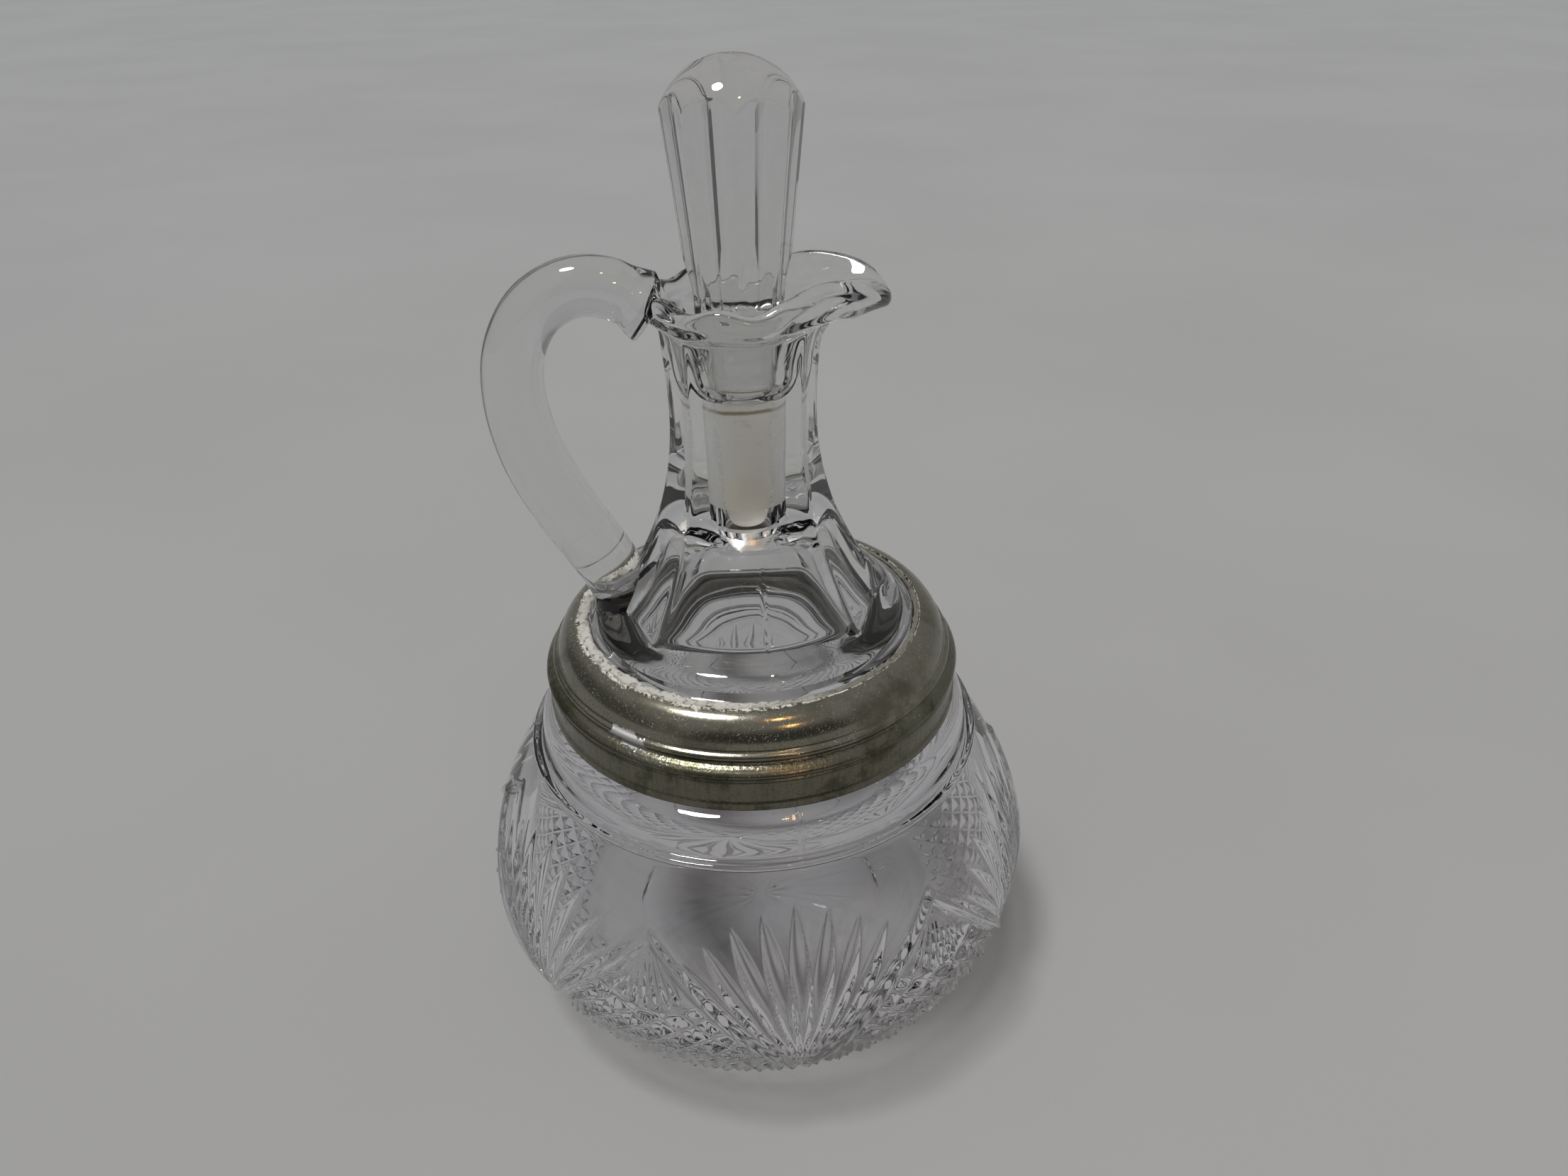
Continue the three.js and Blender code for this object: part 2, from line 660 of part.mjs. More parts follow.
// The space inside the neck: mouth, funnel, ground bore and the flare to the bowl.
function neckInside() {
  const rimInside = LIP_RADIUS - LIP_THICKNESS;
  const below = flangeBottom - BASE_RING_RISE;
  const above = lipHeight + BASE_RING_RISE;
  const points = [v2(0, below), v2(FLARE_RADIUS, below)];
  const steps = 6;
  for (let i = 0; i < steps; i += 1) {
    const share = i / steps;
    points.push(v2(
      boreBottomRadius + (FLARE_RADIUS - boreBottomRadius) * (1 - share ** FLARE_FULLNESS),
      flangeBottom + (boreBottom - flangeBottom) * share,
    ));
  }
  points.push(v2(boreBottomRadius, boreBottom));
  points.push(v2(BORE_TOP_RADIUS, boreTop));
  const widening = FUNNEL_RADIUS - BORE_TOP_RADIUS;
  points.push(v2(BORE_TOP_RADIUS + widening * 0.37, boreTop + FUNNEL_LENGTH * 0.35));
  points.push(v2(FUNNEL_RADIUS, boreTop + FUNNEL_LENGTH));
  points.push(v2(rimInside - LIP_THICKNESS, lipHeight - LIP_THICKNESS * 2.5));
  points.push(v2(rimInside - LIP_THICKNESS * 0.3, lipHeight - LIP_THICKNESS * 0.8));
  points.push(v2(rimInside + LIP_THICKNESS * 0.25, lipHeight));
  points.push(v2(rimInside + LIP_THICKNESS * 0.25, above), v2(0, above));
  return toSolid(turned(points, BORE_SEGMENTS));
}

// A point in the plane of the handle, at a reach from the axis.
const handlePoint = (reach, height) => new THREE.Vector3(-reach, 0, height);

// Points of the handle's line, from its joint with the stub to its end in the lip.
function handleLine() {
  const jointHeight = neckFoot + HANDLE_JOINT_RISE;
  const joint = handlePoint(neckRadius(jointHeight) + HANDLE_JOINT_CLEAR, jointHeight);
  const bow = handlePoint(WAIST_RADIUS + HANDLE_BOW, lipHeight - HANDLE_BOW_DROP);
  const crown = handlePoint(LIP_RADIUS + HANDLE_CROWN_REACH, lipHeight + HANDLE_CROWN_RISE);
  const end = handlePoint(LIP_RADIUS - HANDLE_END_INSET, lipHeight - HANDLE_END_DROP);
  return { joint, bow, crown, end };
}

// The direction of the handle's line where it leaves the stub.
const jointDirection = handlePoint(Math.sin(HANDLE_LEAN), Math.cos(HANDLE_LEAN));

// A smooth stretch of rod line between two points, given its direction at both.
function stretch(from, outward, to, inward) {
  const pull = from.distanceTo(to) * 0.38;
  return new THREE.CubicBezierCurve3(
    from,
    from.clone().addScaledVector(outward, pull),
    to.clone().addScaledVector(inward, -pull),
    to,
  );
}

// A round rod along a path.
function rod(path, radius, steps) {
  const circle = new THREE.Shape().absarc(0, 0, radius, 0, 2 * Math.PI, false);
  const section = new THREE.Shape(circle.getPoints(6).slice(0, -1));
  return toSolid(new THREE.ExtrudeGeometry(section, { steps, extrudePath: path }));
}

function makeNeck() {
  const { joint } = handleLine();
  const root = handlePoint(NECK_RING_RADIUS - STUB_INSET, neckFoot - STUB_SINK);
  const down = new THREE.Vector3(0, 0, -1);
  const stub = rod(
    stretch(joint, jointDirection.clone().negate(), root, down), HANDLE_RADIUS, 6,
  );
  const body = toSolid(neckOutside(0)).add(stub).subtract(neckInside());
  return reshape(toGeometry(body), spoutPull);
}

function makeHandle() {
  const { joint, bow, crown, end } = handleLine();
  const start = joint.clone().addScaledVector(jointDirection, HANDLE_CLEARANCE);
  const up = new THREE.Vector3(0, 0, 1);
  const inward = new THREE.Vector3(1, 0, 0);
  const into = handlePoint(-Math.sin(HANDLE_END_LEAN), -Math.cos(HANDLE_END_LEAN));
  const path = new THREE.CurvePath();
  path.add(stretch(start, jointDirection, bow, up));
  path.add(stretch(bow, up, crown, inward));
  path.add(stretch(crown, inward, end, into));
  const spur = new THREE.ConeGeometry(SPUR_RADIUS, SPUR_LENGTH, 8);
  spur.rotateX(-Math.PI / 2);
  const rodUnderside = lipHeight - HANDLE_RADIUS;
  spur.translate(-LIP_RADIUS - SPUR_CLEAR, 0, rodUnderside - SPUR_DROP + SPUR_LENGTH / 2);
  const cutter = toSolid(neckOutside(HANDLE_CLEARANCE)).add(aboveLip());
  return toGeometry(rod(path, HANDLE_RADIUS, 26).add(toSolid(spur)).subtract(cutter));
}

// The room above the lip and inside its rim, which the handle leaves free.
function aboveLip() {
  const radius = LIP_RADIUS + HANDLE_CLEARANCE;
  const height = 3 * HANDLE_RADIUS;
  const room = new THREE.CylinderGeometry(radius, radius, height, ROUND_SEGMENTS);
  room.rotateX(Math.PI / 2);
  room.translate(0, 0, lipHeight - LIP_THICKNESS / 2 + height / 2);
  return toSolid(room);
}

function makeStopper() {
  const plugTop = BORE_TOP_RADIUS - STOPPER_CLEARANCE;
  const plugEnd = boreBottomRadius - STOPPER_CLEARANCE;
  const headFoot = boreTop + SHANK_LENGTH;
  const lower = toSolid(turned([
    v2(0, boreBottom + PLUG_RISE),
    v2(plugEnd - PLUG_BEVEL, boreBottom + PLUG_RISE),
    v2(plugEnd, boreBottom + PLUG_RISE + PLUG_BEVEL * 1.5),
    v2(plugTop, boreTop - STOPPER_CLEARANCE),
    v2(plugTop, boreTop + SHANK_EASE / 2),
    v2(SHANK_RADIUS * 0.94, boreTop + SHANK_CONE_LENGTH),
    v2(SHANK_RADIUS, boreTop + SHANK_CONE_LENGTH + SHANK_EASE),
    v2(SHANK_RADIUS, headFoot - SHANK_EASE),
    v2(SHANK_RADIUS * 0.88, headFoot + SHANK_EASE / 2),
    v2(0, headFoot + SHANK_EASE / 2),
  ], BORE_SEGMENTS));
  const head = new THREE.CylinderGeometry(
    HEAD_TOP_RADIUS, HEAD_BOTTOM_RADIUS, HEAD_LENGTH, HEAD_SIDES,
  );
  head.rotateX(Math.PI / 2);
  head.translate(0, 0, headFoot + HEAD_LENGTH / 2);
  const roundCentre = headFoot + HEAD_LENGTH - HEAD_ROUND_RADIUS;
  const bound = [v2(0, boreBottom), v2(HEAD_ROUND_RADIUS, boreBottom)];
  for (let i = 0; i <= 7; i += 1) {
    const turn = (Math.PI / 2) * (i / 7);
    bound.push(v2(
      HEAD_ROUND_RADIUS * Math.cos(turn), roundCentre + HEAD_ROUND_RADIUS * Math.sin(turn),
    ));
  }
  return toSolid(head).add(lower).intersect(toSolid(turned(bound, BORE_SEGMENTS)));
}

const cruet = new THREE.Group();

function place(name, geometry, material) {
  const mesh = new THREE.Mesh(geometry, material);
  mesh.name = name;
  cruet.add(mesh);
}

place('bowl', toGeometry(makeBowl()), materials.bowl);
place('seal_washer', toGeometry(makeWasher()), materials.washer);
place('screw_collar', toGeometry(makeCollar()), materials.metal);
place('cement_ring', toGeometry(makeCement()), materials.cement);
place('neck', makeNeck(), materials.top);
place('handle', makeHandle(), materials.top);
place('stopper', toGeometry(makeStopper()), materials.stopper);

export default cruet;
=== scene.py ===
"""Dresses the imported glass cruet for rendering.

The cruet is a squat pressed glass bowl with fans and diamond points, and a six-sided
glass neck with a spout, a handle and a ground stopper, held by plaster in a tarnished
screw collar. Sizes are in millimetres and angles in degrees until a mesh is made. The
part's frame holds throughout: +Z up, +X towards the spout, -Y the front.
"""

import logging
import math
from dataclasses import dataclass, field
from enum import Enum
from typing import Callable, ClassVar, Sequence

import bpy
import numpy as np
from mathutils import Matrix, Vector

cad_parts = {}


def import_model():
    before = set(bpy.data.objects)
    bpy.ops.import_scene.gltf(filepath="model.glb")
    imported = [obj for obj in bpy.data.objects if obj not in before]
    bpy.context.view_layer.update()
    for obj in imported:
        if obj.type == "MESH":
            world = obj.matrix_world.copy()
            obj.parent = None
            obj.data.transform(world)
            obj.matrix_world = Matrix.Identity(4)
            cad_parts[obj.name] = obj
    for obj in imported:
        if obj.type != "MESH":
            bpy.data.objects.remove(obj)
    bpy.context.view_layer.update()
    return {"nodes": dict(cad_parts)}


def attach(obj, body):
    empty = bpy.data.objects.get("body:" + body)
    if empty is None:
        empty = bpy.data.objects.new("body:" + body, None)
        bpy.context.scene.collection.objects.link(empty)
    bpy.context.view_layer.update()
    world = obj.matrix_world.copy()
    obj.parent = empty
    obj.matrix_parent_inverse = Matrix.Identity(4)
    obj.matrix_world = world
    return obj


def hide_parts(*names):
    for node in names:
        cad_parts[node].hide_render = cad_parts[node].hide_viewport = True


LOG = logging.getLogger("cruet")
MM = 0.001

GLASS_IOR = 1.5
PLASTER_SIDE = (-0.88, -0.47, 0.0)

Array = np.ndarray
Outline = Sequence[tuple[float, float]]
Place = tuple[float, float, float]
Colour = tuple[float, float, float, float]
Piece = bpy.types.Object
Material = bpy.types.Material
Node = bpy.types.Node
Socket = bpy.types.NodeSocket


class Body(str, Enum):
    """Bodies of the frame that the pieces ride on."""

    BOWL = "bowl_body"
    TOP = "top_body"
    STOPPER = "stopper_body"


class Slot(str, Enum):
    """Material slots of the parts."""

    BOWL = "bowl_glass"
    TOP = "top_glass"
    STOPPER = "stopper_glass"
    METAL = "collar_metal"
    CEMENT = "cement"


class Fuse(str, Enum):
    """Ways in which one solid changes another."""

    JOIN = "UNION"
    CUT = "DIFFERENCE"


# Profiles and meshes


def straight(points: Outline, step: float) -> Array:
    """Points about a step apart along a row of straight stretches.

    Args:
        points: Corners as (radius, height).
        step: Largest distance between two points.

    Returns:
        An array of (radius, height) rows with every corner in it.
    """
    corners = np.asarray(points, dtype=float)
    rows = [corners[:1]]
    for start, end in zip(corners[:-1], corners[1:]):
        count = max(1, math.ceil(float(np.hypot(*(end - start))) / step))
        share = np.arange(1, count + 1)[:, None] / count
        rows.append(start + (end - start) * share)
    return np.concatenate(rows)


def spline(points: Sequence[Sequence[float]], count: int) -> Array:
    """A smooth row of points through the given ones.

    Args:
        points: Points of any dimension that the line passes through.
        count: Number of points to return.

    Returns:
        An array of evenly spaced points along a Catmull-Rom line.
    """
    knots = np.asarray(points, dtype=float)
    ends = [2 * knots[0] - knots[1], *knots, 2 * knots[-1] - knots[-2]]
    pieces = []
    for a, b, c, d in zip(ends[:-3], ends[1:-2], ends[2:-1], ends[3:]):
        t = np.linspace(0, 1, 24, endpoint=False)[:, None]
        pieces.append(0.5 * (
            2 * b + (c - a) * t + (2 * a - 5 * b + 4 * c - d) * t ** 2
            + (3 * b - a - 3 * c + d) * t ** 3
        ))
    line = np.concatenate([*pieces, knots[-1:]])
    length = np.concatenate([[0], np.cumsum(np.linalg.norm(np.diff(line, axis=0), axis=1))])
    even = np.linspace(0, length[-1], count)
    return np.stack([np.interp(even, length, axis) for axis in line.T], axis=1)


def round_edge(centre: tuple[float, float], size: float, first: float, last: float,
               count: int = 6) -> Array:
    """Points on an arc in the profile plane.

    Args:
        centre: Centre as (radius, height).
        size: Radius of the arc.
        first: Start angle, from the outward direction towards up.
        last: End angle.
        count: Number of points.

    Returns:
        An array of (radius, height) rows.
    """
    turn = np.radians(np.linspace(first, last, count))
    return np.stack([centre[0] + size * np.cos(turn), centre[1] + size * np.sin(turn)], 1)


def profile_normals(profile: Array) -> Array:
    """Unit normals that point out of the material along a profile.

    Args:
        profile: Rows of (radius, height).

    Returns:
        A normal for each row.
    """
    along = np.gradient(profile, axis=0)
    normal = np.stack([along[:, 1], -along[:, 0]], 1)
    return normal / np.maximum(np.linalg.norm(normal, axis=1, keepdims=True), 1e-9)


def angles(columns: int) -> Array:
    """Angles of the columns of a turned mesh, in radians."""
    return np.arange(columns) * (2 * math.pi / columns)


def rings_of(profile: Array, columns: int, relief: Array | None = None) -> Array:
    """Turns a profile into rings of points.

    Args:
        profile: Rows of (radius, height).
        columns: Points in each ring.
        relief: Height of the relief above the profile, as (rows, columns).

    Returns:
        An array of (rows, columns, 3).
    """
    turn = angles(columns)[None, :]
    radius = np.repeat(profile[:, :1], columns, axis=1)
    height = np.repeat(profile[:, 1:], columns, axis=1)
    if relief is not None:
        normal = profile_normals(profile)
        radius = radius + relief * normal[:, :1]
        height = height + relief * normal[:, 1:]
    return np.stack([radius * np.cos(turn), radius * np.sin(turn), height], axis=2)


def solid(name: str, rings: Array, looped: bool = False) -> Piece:
    """Makes a closed mesh over rings of points.

    Args:
        name: Name of the object.
        rings: Points as (rows, columns, 3).
        looped: True joins the last ring to the first, False closes both ends.

    Returns:
        The new object, linked to the scene.
    """
    rows, columns, _ = rings.shape
    first = np.arange(rows if looped else rows - 1)[:, None] * columns
    following = (first + columns) % (rows * columns)
    near = np.arange(columns)[None, :]
    far = (near + 1) % columns
    faces = np.stack([first + near, first + far, following + far, following + near], -1)
    face_list = faces.reshape(-1, 4).tolist()
    if not looped:
        face_list.append(list(range(columns - 1, -1, -1)))
        face_list.append(list(range((rows - 1) * columns, rows * columns)))
    mesh = bpy.data.meshes.new(name)
    mesh.from_pydata((rings.reshape(-1, 3) * MM).tolist(), [], face_list)
    mesh.validate()
    piece = bpy.data.objects.new(name, mesh)
    bpy.context.scene.collection.objects.link(piece)
    return piece


def tube(name: str, line: Array, radii: Array, columns: int) -> Piece:
    """Makes a closed rod round a line in the plane of the handle.

    Args:
        name: Name of the object.
        line: Points as (x, height), in the plane of the handle.
        radii: Radius at each point, as (rows, 1) or (rows, columns).
        columns: Points round the rod.

    Returns:
        The new object.
    """
    along = np.gradient(line, axis=0)
    along /= np.linalg.norm(along, axis=1, keepdims=True)
    across = np.stack([-along[:, 1], along[:, 0]], 1)
    turn = angles(columns)
    offset = radii * np.cos(turn)[None, :]
    x = line[:, :1] + across[:, :1] * offset
    z = line[:, 1:] + across[:, 1:] * offset
    y = radii * np.sin(turn)[None, :]
    return solid(name, np.stack([x, y, z], 2))


def fuse(base: Piece, other: Piece, way: Fuse) -> None:
    """Joins a solid to another or cuts it away, and removes it.

    Args:
        base: The solid that changes.
        other: The solid that is joined or cut away.
        way: What is done with it.
    """
    step = base.modifiers.new("fuse", "BOOLEAN")
    step.operation = way.value
    step.solver = "EXACT"
    step.object = other
    graph = bpy.context.evaluated_depsgraph_get()
    result = bpy.data.meshes.new_from_object(base.evaluated_get(graph))
    base.modifiers.clear()
    old, base.data = base.data, result
    result.name = base.name
    bpy.data.meshes.remove(old)
    spare = other.data
    bpy.data.objects.remove(other)
    bpy.data.meshes.remove(spare)


def reshape(piece: Piece, rule: Callable[[Array], Array]) -> None:
    """Moves every point of a mesh by a rule.

    Args:
        piece: The object to reshape.
        rule: Takes points as (count, 3) in millimetres and returns the moved ones.
    """
    points = np.empty(len(piece.data.vertices) * 3)
    piece.data.vertices.foreach_get("co", points)
    moved = rule(points.reshape(-1, 3) / MM) * MM
    piece.data.vertices.foreach_set("co", moved.ravel())
    piece.data.update()


def smoothstep(value: Array, low: float, high: float) -> Array:
    """Goes smoothly from 0 at low to 1 at high."""
    share = np.clip((value - low) / (high - low), 0, 1)
    return share * share * (3 - 2 * share)


def soft_least(first: Array, second: Array, softness: float) -> Array:
    """The smaller of two values, rounded where they meet."""
    return -softness * np.logaddexp(-first / softness, -second / softness)


def ripple(turn: Array, height: Array, seed: float) -> Array:
    """A soft unevenness between about -1 and 1, as pressed and fire-polished glass has.

    Args:
        turn: Angles in radians.
        height: Heights in millimetres.
        seed: Shifts the waves, so that two surfaces differ.

    Returns:
        The unevenness at each angle and height.
    """
    total = np.zeros(np.broadcast(turn, height).shape)
    for index, (around, upward, share) in enumerate(
            ((2, 0.05, 0.34), (3, 0.11, 0.26), (5, 0.17, 0.2), (9, 0.29, 0.12), (14, 0.47, 0.08))):
        phase = seed * (index + 1.7)
        total += share * np.sin(around * turn + upward * height + phase)
    return total


# Shader building


class Wiring:
    """Places and links the nodes of one shader tree."""

    def __init__(self, tree: bpy.types.NodeTree) -> None:
        """Starts on an empty tree."""
        self.tree = tree
        tree.nodes.clear()

    def add(self, kind: str, inputs: dict[str | int, object] | None = None,
            **settings: object) -> Node:
        """Adds a node.

        Args:
            kind: Type of the node, without its ShaderNode prefix.
            inputs: Values or output sockets for the node's inputs.
            **settings: Properties of the node.

        Returns:
            The node.
        """
        prefix = "" if kind.startswith("NodeGroup") else "ShaderNode"
        node = self.tree.nodes.new(prefix + kind)
        for key, value in settings.items():
            setattr(node, key, value)
        for key, value in (inputs or {}).items():
            if isinstance(value, Socket):
                self.tree.links.new(value, node.inputs[key])
            else:
                node.inputs[key].default_value = value
        return node

    def link(self, node: Node, **sources: Socket) -> None:
        """Links sockets to a node's inputs, named with _ for a space."""
        for key, source in sources.items():
            self.tree.links.new(source, node.inputs[key.replace("_", " ")])

    def effect(self, group: bpy.types.NodeTree, **values: float) -> Node:
        """Adds a shared effect, with its inputs named with _ for a space."""
        inputs = {key.replace("_", " "): value for key, value in values.items()}
        return self.add("Group", inputs, node_tree=group)

    def place(self) -> Socket:
        """Coordinates on the object, in metres."""
        return self.add("TexCoord").outputs["Object"]

    def height(self, place: Socket) -> Socket:
        """The upward share of coordinates."""
        return self.add("SeparateXYZ", {"Vector": place}).outputs["Z"]

    def vector(self, kind: str, first: object, second: object) -> Socket:
        """The vector that an operation makes of two."""
        return self.add("VectorMath", {0: first, 1: second}, operation=kind).outputs[0]

    def reach(self, place: Socket, direction: Place) -> Socket:
        """How far coordinates reach in a direction."""
        return self.add("VectorMath", {0: place, 1: direction},
                        operation="DOT_PRODUCT").outputs["Value"]

    def noise(self, place: Socket, scale: float | Socket, detail: float = 3,
              roughness: float = 0.55, distortion: float = 0) -> Socket:
        """A noise value between 0 and 1.

        Args:
            place: Coordinates.
            scale: Scale of the noise in waves a metre.
            detail: Number of finer layers.
            roughness: Strength of the finer layers.
            distortion: How far the noise bends itself.

        Returns:
            The noise's value socket.
        """
        return self.add("TexNoise", {
            "Vector": place, "Scale": scale, "Detail": detail,
            "Roughness": roughness, "Distortion": distortion,
        }).outputs["Fac"]

    def ramp(self, value: Socket, low: float | Socket, high: float | Socket,
             start: float = 0, end: float = 1) -> Socket:
        """Maps a value from low..high to start..end, smoothly and clamped.

        Args:
            value: The value to map.
            low: Value that gives start.
            high: Value that gives end.
            start: First result.
            end: Last result.

        Returns:
            The mapped value socket.
        """
        return self.add("MapRange", {
            "Value": value, "From Min": low, "From Max": high,
            "To Min": start, "To Max": end,
        }, interpolation_type="SMOOTHSTEP").outputs["Result"]

    def maths(self, kind: str, first: object, second: object) -> Socket:
        """The result of an operation on two values."""
        return self.add("Math", {0: first, 1: second}, operation=kind).outputs[0]

    def plus(self, first: object, second: object) -> Socket:
        """The sum of two values."""
        return self.maths("ADD", first, second)

    def minus(self, first: object, second: object) -> Socket:
        """The first value without the second."""
        return self.maths("SUBTRACT", first, second)

    def times(self, first: object, second: object) -> Socket:
        """The product of two values."""
        return self.maths("MULTIPLY", first, second)

    def larger(self, first: object, second: object) -> Socket:
        """The larger of two values."""
        return self.maths("MAXIMUM", first, second)

    def blend(self, share: object, first: object, second: object) -> Socket:
        """A colour between two, by a share of the second."""
        node = self.add("Mix", {0: share, 6: first, 7: second}, data_type="RGBA")
        return node.outputs[2]

    def bump(self, height: Socket, distance: float, strength: float = 1) -> Socket:
        """A normal bent by a height.

        Args:
            height: Height between 0 and 1.
            distance: Height in millimetres that 1 stands for.
            strength: Share of the effect.

        Returns:
            The normal socket.
        """
        return self.add("Bump", {
            "Height": height, "Distance": distance * MM, "Strength": strength,
        }).outputs["Normal"]


def effect_group(name: str, inputs: Sequence[tuple[str, float]],
                 outputs: Sequence[str]) -> tuple[Wiring, Node, Node]:
    """Starts a node group with number inputs and number outputs.

    Args:
        name: Name of the group.
        inputs: Names and default values of the inputs.
        outputs: Names of the outputs.

    Returns:
        The wiring of the group, its input node and its output node.
    """
    tree = bpy.data.node_groups.new(name, "ShaderNodeTree")
    for label, value in inputs:
        socket = tree.interface.new_socket(label, in_out="INPUT", socket_type="NodeSocketFloat")
        socket.default_value = value
    for label in outputs:
        tree.interface.new_socket(label, in_out="OUTPUT", socket_type="NodeSocketFloat")
    wiring = Wiring(tree)
    return wiring, wiring.add("NodeGroupInput"), wiring.add("NodeGroupOutput")


@dataclass
class Effects:
    """Effects that several finishes share, each built once as a node group."""

    haze: bpy.types.NodeTree = field(init=False)
    blotch: bpy.types.NodeTree = field(init=False)

    def __post_init__(self) -> None:
        """Builds both groups."""
        self.haze = self._haze()
        self.blotch = self._blotch()

    @staticmethod
    def _haze() -> bpy.types.NodeTree:
        """Handling marks on glass: dull smears and a faint waviness.

        Returns:
            A group with the outputs Smear and Wave, both from 0 to 1.
        """
        wiring, given, result = effect_group(
            "handling_haze", [("Smear Scale", 60), ("Wave Scale", 90), ("Cover", 0.5)],
            ["Smear", "Wave"])
        place = wiring.place()
        smear = wiring.noise(place, given.outputs["Smear Scale"], 5.0, 0.62, 0.6)
        low = wiring.minus(0.95, wiring.times(given.outputs["Cover"], 0.6))
        mask = wiring.ramp(smear, low, wiring.plus(low, 0.22))
        wave = wiring.noise(place, given.outputs["Wave Scale"], 1.5, 0.4)
        wiring.link(result, Smear=mask, Wave=wave)
        return wiring.tree

    @staticmethod
    def _blotch() -> bpy.types.NodeTree:
        """Irregular patches with a fine grain in them.

        Returns:
            A group with the outputs Patch and Grain, both from 0 to 1.
        """
        wiring, given, result = effect_group(
            "blotches", [("Patch Scale", 80), ("Grain Scale", 900), ("Cover", 0.5)],
            ["Patch", "Grain"])
        place = wiring.place()
        patch = wiring.noise(place, given.outputs["Patch Scale"], 6.0, 0.66, 0.35)
        low = wiring.minus(0.85, wiring.times(given.outputs["Cover"], 0.6))
        mask = wiring.ramp(patch, low, wiring.plus(low, 0.16))
        grain = wiring.noise(place, given.outputs["Grain Scale"], 3.0, 0.6)
        wiring.link(result, Patch=mask, Grain=grain)
        return wiring.tree


def new_material(name: str, **sockets: object) -> tuple[Material, Wiring, Node]:
    """Starts a material with a Principled shader.

    Args:
        name: Name of the material.
        **sockets: Values of the shader's sockets, with _ for a space.

    Returns:
        The material, its wiring and its shader node.
    """
    material = bpy.data.materials.new(name)
    material.use_nodes = True
    wiring = Wiring(material.node_tree)
    shader = wiring.add("BsdfPrincipled")
    for key, value in sockets.items():
        shader.inputs[key.replace("_", " ")].default_value = value
    output = wiring.add("OutputMaterial")
    wiring.tree.links.new(shader.outputs["BSDF"], output.inputs["Surface"])
    return material, wiring, shader


@dataclass(frozen=True)
class Glass:
    """Clear pressed glass with handling marks and fire-polished waviness."""

    name: str
    tint: Colour
    wave_depth: float
    polish: float = 0.012
    smear_roughness: float = 0.09
    wave_scale: float = 110
    cover: float = 0.4
    shade: float = 0.93
    edge_shade: float = 0.6

    def make(self, effects: Effects) -> Material:
        """Builds the material.

        Args:
            effects: The shared effects.

        Returns:
            The material.
        """
        material, wiring, shader = new_material(
            self.name, Base_Color=self.tint, Transmission_Weight=1.0, IOR=GLASS_IOR)
        haze = wiring.effect(effects.haze, Wave_Scale=self.wave_scale, Cover=self.cover)
        rough = wiring.ramp(haze.outputs["Smear"], 0, 1, self.polish, self.smear_roughness)
        normal = wiring.bump(haze.outputs["Wave"], self.wave_depth)
        wiring.link(shader, Roughness=rough, Normal=normal)
        self._pass_light(wiring, shader)
        return material

    def _pass_light(self, wiring: Wiring, shader: Node) -> None:
        """Lets light through to what lies behind the glass, less of it at the edges.

        Args:
            wiring: The material's wiring, with its output node.
            shader: The glass shader.
        """
        path = wiring.add("LightPath")
        passing = wiring.larger(path.outputs["Is Shadow Ray"], path.outputs["Is Diffuse Ray"])
        facing = wiring.add("LayerWeight", {"Blend": 0.5}).outputs["Facing"]
        middle, edge = self.shade, self.edge_shade * self.shade
        shade = wiring.blend(wiring.ramp(facing, 0.5, 1.0), (middle, middle, middle, 1),
                             (edge, edge, edge, 1))
        clear = wiring.add("BsdfTransparent", {"Color": shade})
        mixed = wiring.add("MixShader", {
            0: passing, 1: shader.outputs["BSDF"], 2: clear.outputs["BSDF"]})
        wiring.link(wiring.tree.nodes["Material Output"], Surface=mixed.outputs["Shader"])


@dataclass(frozen=True)
class GroundGlass:
    """The ground seat of stopper and bore: frosted, yellowed, with a brown line at its top."""

    name: str = "ground_glass"
    frost: Colour = (0.93, 0.93, 0.905, 1)
    yellowed: Colour = (0.92, 0.89, 0.81, 1)
    residue: Colour = (0.22, 0.14, 0.05, 1)
    clearness: float = 0.72
    roughness: float = 0.45
    line: float = 110.4
    line_waver: float = 0.8
    crumbs_depth: float = 7.0
    bottom: float = 90.5
    yellowed_height: float = 11.0

    def make(self, effects: Effects) -> Material:
        """Builds the material.

        Args:
            effects: The shared effects.

        Returns:
            The material.
        """
        material, wiring, shader = new_material(
            self.name, Transmission_Weight=self.clearness, IOR=GLASS_IOR)
        place = wiring.place()
        height = wiring.height(place)
        marks = wiring.effect(effects.blotch, Patch_Scale=420, Grain_Scale=1600, Cover=0.5)
        patch, grain = marks.outputs["Patch"], marks.outputs["Grain"]
        level = wiring.plus(height, wiring.times(
            wiring.noise(place, 260), self.line_waver * MM))
        line = wiring.times(
            wiring.ramp(level, (self.line - 0.2) * MM, (self.line + 0.2) * MM),
            wiring.ramp(level, (self.line + 0.75) * MM, (self.line + 0.4) * MM))
        crumbs = wiring.times(patch, wiring.ramp(
            height, (self.line - self.crumbs_depth) * MM, (self.line - 1) * MM, 0.05, 0.5))
        low = wiring.ramp(height, (self.bottom + self.yellowed_height) * MM,
                          (self.bottom + 3) * MM, 0.0, 0.9)
        warm = wiring.blend(low, self.frost, self.yellowed)
        colour = wiring.blend(wiring.larger(line, crumbs), warm, self.residue)
        rough = wiring.ramp(grain, 0.3, 0.7, self.roughness - 0.08, self.roughness + 0.1)
        normal = wiring.bump(grain, 0.06, 0.7)
        wiring.link(shader, Base_Color=colour, Roughness=rough, Normal=normal)
        return material


